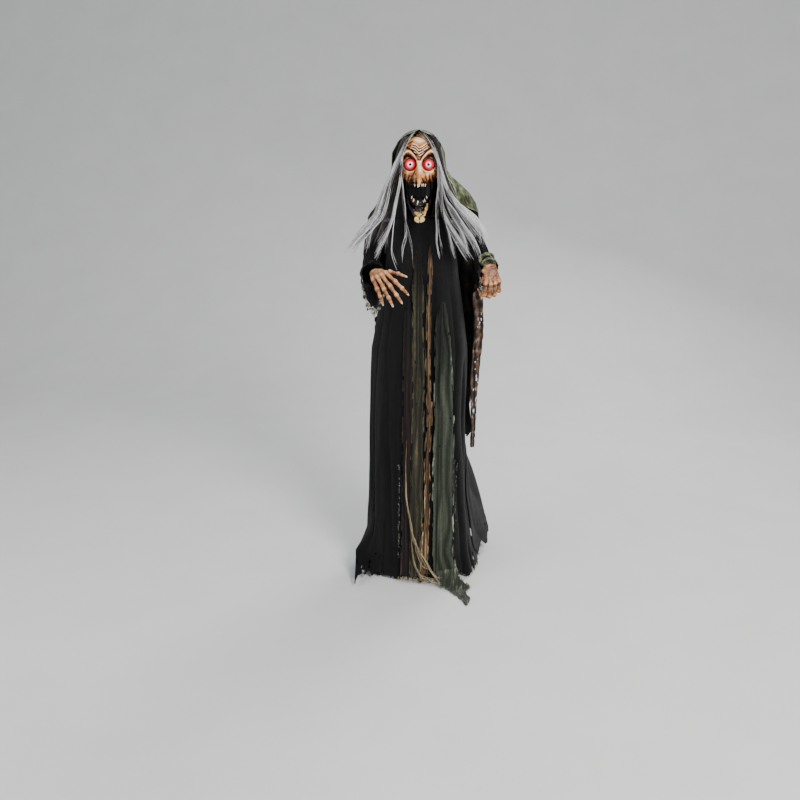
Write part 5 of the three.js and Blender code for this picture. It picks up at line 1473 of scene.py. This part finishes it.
def make_wraps(arm):
    """Bands of gauze wound round the wrist and the sleeve's end, each a wrinkled roll with its own lean."""
    found = []
    rolls = [((0, 2, 0), (0.16, -0.5, -0.85), 20, 8), ((-12, 26, 14), (0.3, -0.7, -0.64), 26, 8),
             ((-5, 13, 5), (0.22, -0.6, -0.76), 21, 4)]
    for k, (shift, axis, radius, wide) in enumerate(rolls):
        line = arm.wrist + np.array(shift, float) + unit(axis) * np.linspace(-wide, wide, 26)[:, None]
        t = np.linspace(-1, 1, 26)
        radii = radius * (1 - 0.16 * t ** 4) + 1.6 * np.sin(t * 9 + k)
        grid, _turn = tube_grid(line, radii, 0 * t, (0, 1, 0), 84, 241 + k, 0.12, 3)
        holes = noise(grid, 4.5, 245 + k)
        keep = cells(wrap_cols(holes)) < 0.62
        tone = 0.5 + 0.34 * fractal(grid, 14, 247 + k)
        band = cloth(f"wrist_wrap_{arm.name}_{k + 1}", grid, hood_gauze, THICK_MM, keep, True, tone)
        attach(band, f"forearm_{arm.name}")
        found.append(band)
    return found


for arm in (RIGHT_ARM, LEFT_ARM):
    hand = make_hand(arm)
    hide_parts(f"hand_{arm.name}")
    nails = make_nails(arm)
    for piece in (hand, nails):
        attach(piece, f"forearm_{arm.name}")
    make_sleeves(arm)
wraps = make_wraps(LEFT_ARM)


# ---- The stand and the works inside keep their shapes and get finished surfaces.

LOOKS = {
    "black_steel": solid_look("steel_powder_coat", (18, 18, 20), (34, 34, 37), 40, (0.38, 0.55), 0.6,
                              (1600, 0.3, 0.0003)),
    "bright_steel": solid_look("steel_bright", (120, 120, 124), (190, 190, 196), 90, (0.22, 0.4), 1.0,
                               (700, 0.12, 0.0002), (1, 1, 0.1)),
    "black_plastic": solid_look("plastic_black", (16, 16, 18), (32, 32, 35), 50, (0.42, 0.58), 0.0,
                                (2200, 0.3, 0.0002)),
    "white_gear": solid_look("gear_acetal", (206, 200, 184), (238, 234, 222), 70, (0.36, 0.5), 0.0,
                             (900, 0.15, 0.0002)),
    "circuit_green": solid_look("circuit_board", (14, 62, 34), (40, 112, 62), 260, (0.3, 0.5), 0.0,
                                (500, 0.3, 0.0004)),
    "cell_wrap": solid_look("cell_wrap", (30, 44, 66), (58, 78, 108), 80, (0.25, 0.4), 0.3, (300, 0.1, 0.0003)),
    "cable": solid_look("cable_sheath", (14, 14, 15), (30, 30, 32), 200, (0.4, 0.6), 0.0, (1200, 0.2, 0.0002))}
for part in frame["record"]["subparts"]:
    node = frame["nodes"].get(part["node"])
    if node is not None and part["material_slot"] in LOOKS:
        node.data.materials.clear()
        node.data.materials.append(LOOKS[part["material_slot"]])


# ---- Floor, light and camera.

def make_floor():
    size, half = 60, 7.0
    curve_start, curve_run, curve_rise, gap_under = 2.2, 1.6, 0.55, 0.0006
    axis = np.linspace(-half, half, size)
    x, y = np.meshgrid(axis, axis, indexing="ij")
    curl = np.clip((y - curve_start) / curve_run, 0, None)
    z = np.where(y > curve_start, curve_rise * curl ** 2 * curve_run, 0) - gap_under
    verts = spots(x, y, z).reshape(-1, 3) / MM
    i, j = np.meshgrid(np.arange(size - 1), np.arange(size - 1), indexing="ij")
    a = i * size + j
    faces = np.stack([a, a + size, a + size + 1, a + 1], -1).reshape(-1, 4)
    look = solid_look("floor_pale", (226, 226, 226), (232, 232, 231), 3, (0.7, 0.8), 0, (40, 0.02, 0.0005),
                      specular=0.2)
    floor = add_mesh("floor", verts, faces, look)


def area_light(name, place, target, size, power, tint=(1, 1, 1)):
    light = bpy.data.lights.new(name, "AREA")
    light.shape, light.size, light.energy, light.color = "DISK", size, power, tint
    lamp = bpy.data.objects.new(name, light)
    lamp.location = place
    lamp.rotation_euler = (Vector(target) - Vector(place)).to_track_quat("-Z", "Y").to_euler()
    bpy.context.scene.collection.objects.link(lamp)


make_floor()
area_light("key", (2.0, -2.6, 3.0), (0, 0, 1.1), 1.4, 150, (1.0, 0.98, 0.95))
area_light("fill", (-2.8, -2.4, 1.8), (0, 0, 1.0), 2.4, 55, (0.95, 0.97, 1.0))
area_light("rim", (1.2, 2.6, 2.8), (0, 0, 1.2), 1.6, 70)
world = bpy.data.worlds.new("studio")
world.use_nodes = True
world.node_tree.nodes["Background"].inputs[0].default_value = (0.86, 0.88, 0.9, 1)
world.node_tree.nodes["Background"].inputs[1].default_value = 0.55
bpy.context.scene.world = world

# Angles in degrees, lengths in metres, lens in millimetres; the camera looks a little to one side of the figure.
AZIMUTH, DISTANCE, EYE_LEVEL, PITCH, ASIDE = 8.0, 3.0, 1.55, 15.9, 1.474198
SENSOR, LENS = 36.0, 36.72
lens = bpy.data.cameras.new("camera")
lens.sensor_width = SENSOR
lens.lens = LENS
lens.clip_end = 60
camera = bpy.data.objects.new("camera", lens)
turn = math.radians(AZIMUTH)
camera.location = (DISTANCE * math.sin(turn), -DISTANCE * math.cos(turn), EYE_LEVEL)
camera.rotation_euler = (math.radians(90 - PITCH), 0, turn + math.radians(ASIDE))
bpy.context.scene.collection.objects.link(camera)
bpy.context.scene.camera = camera
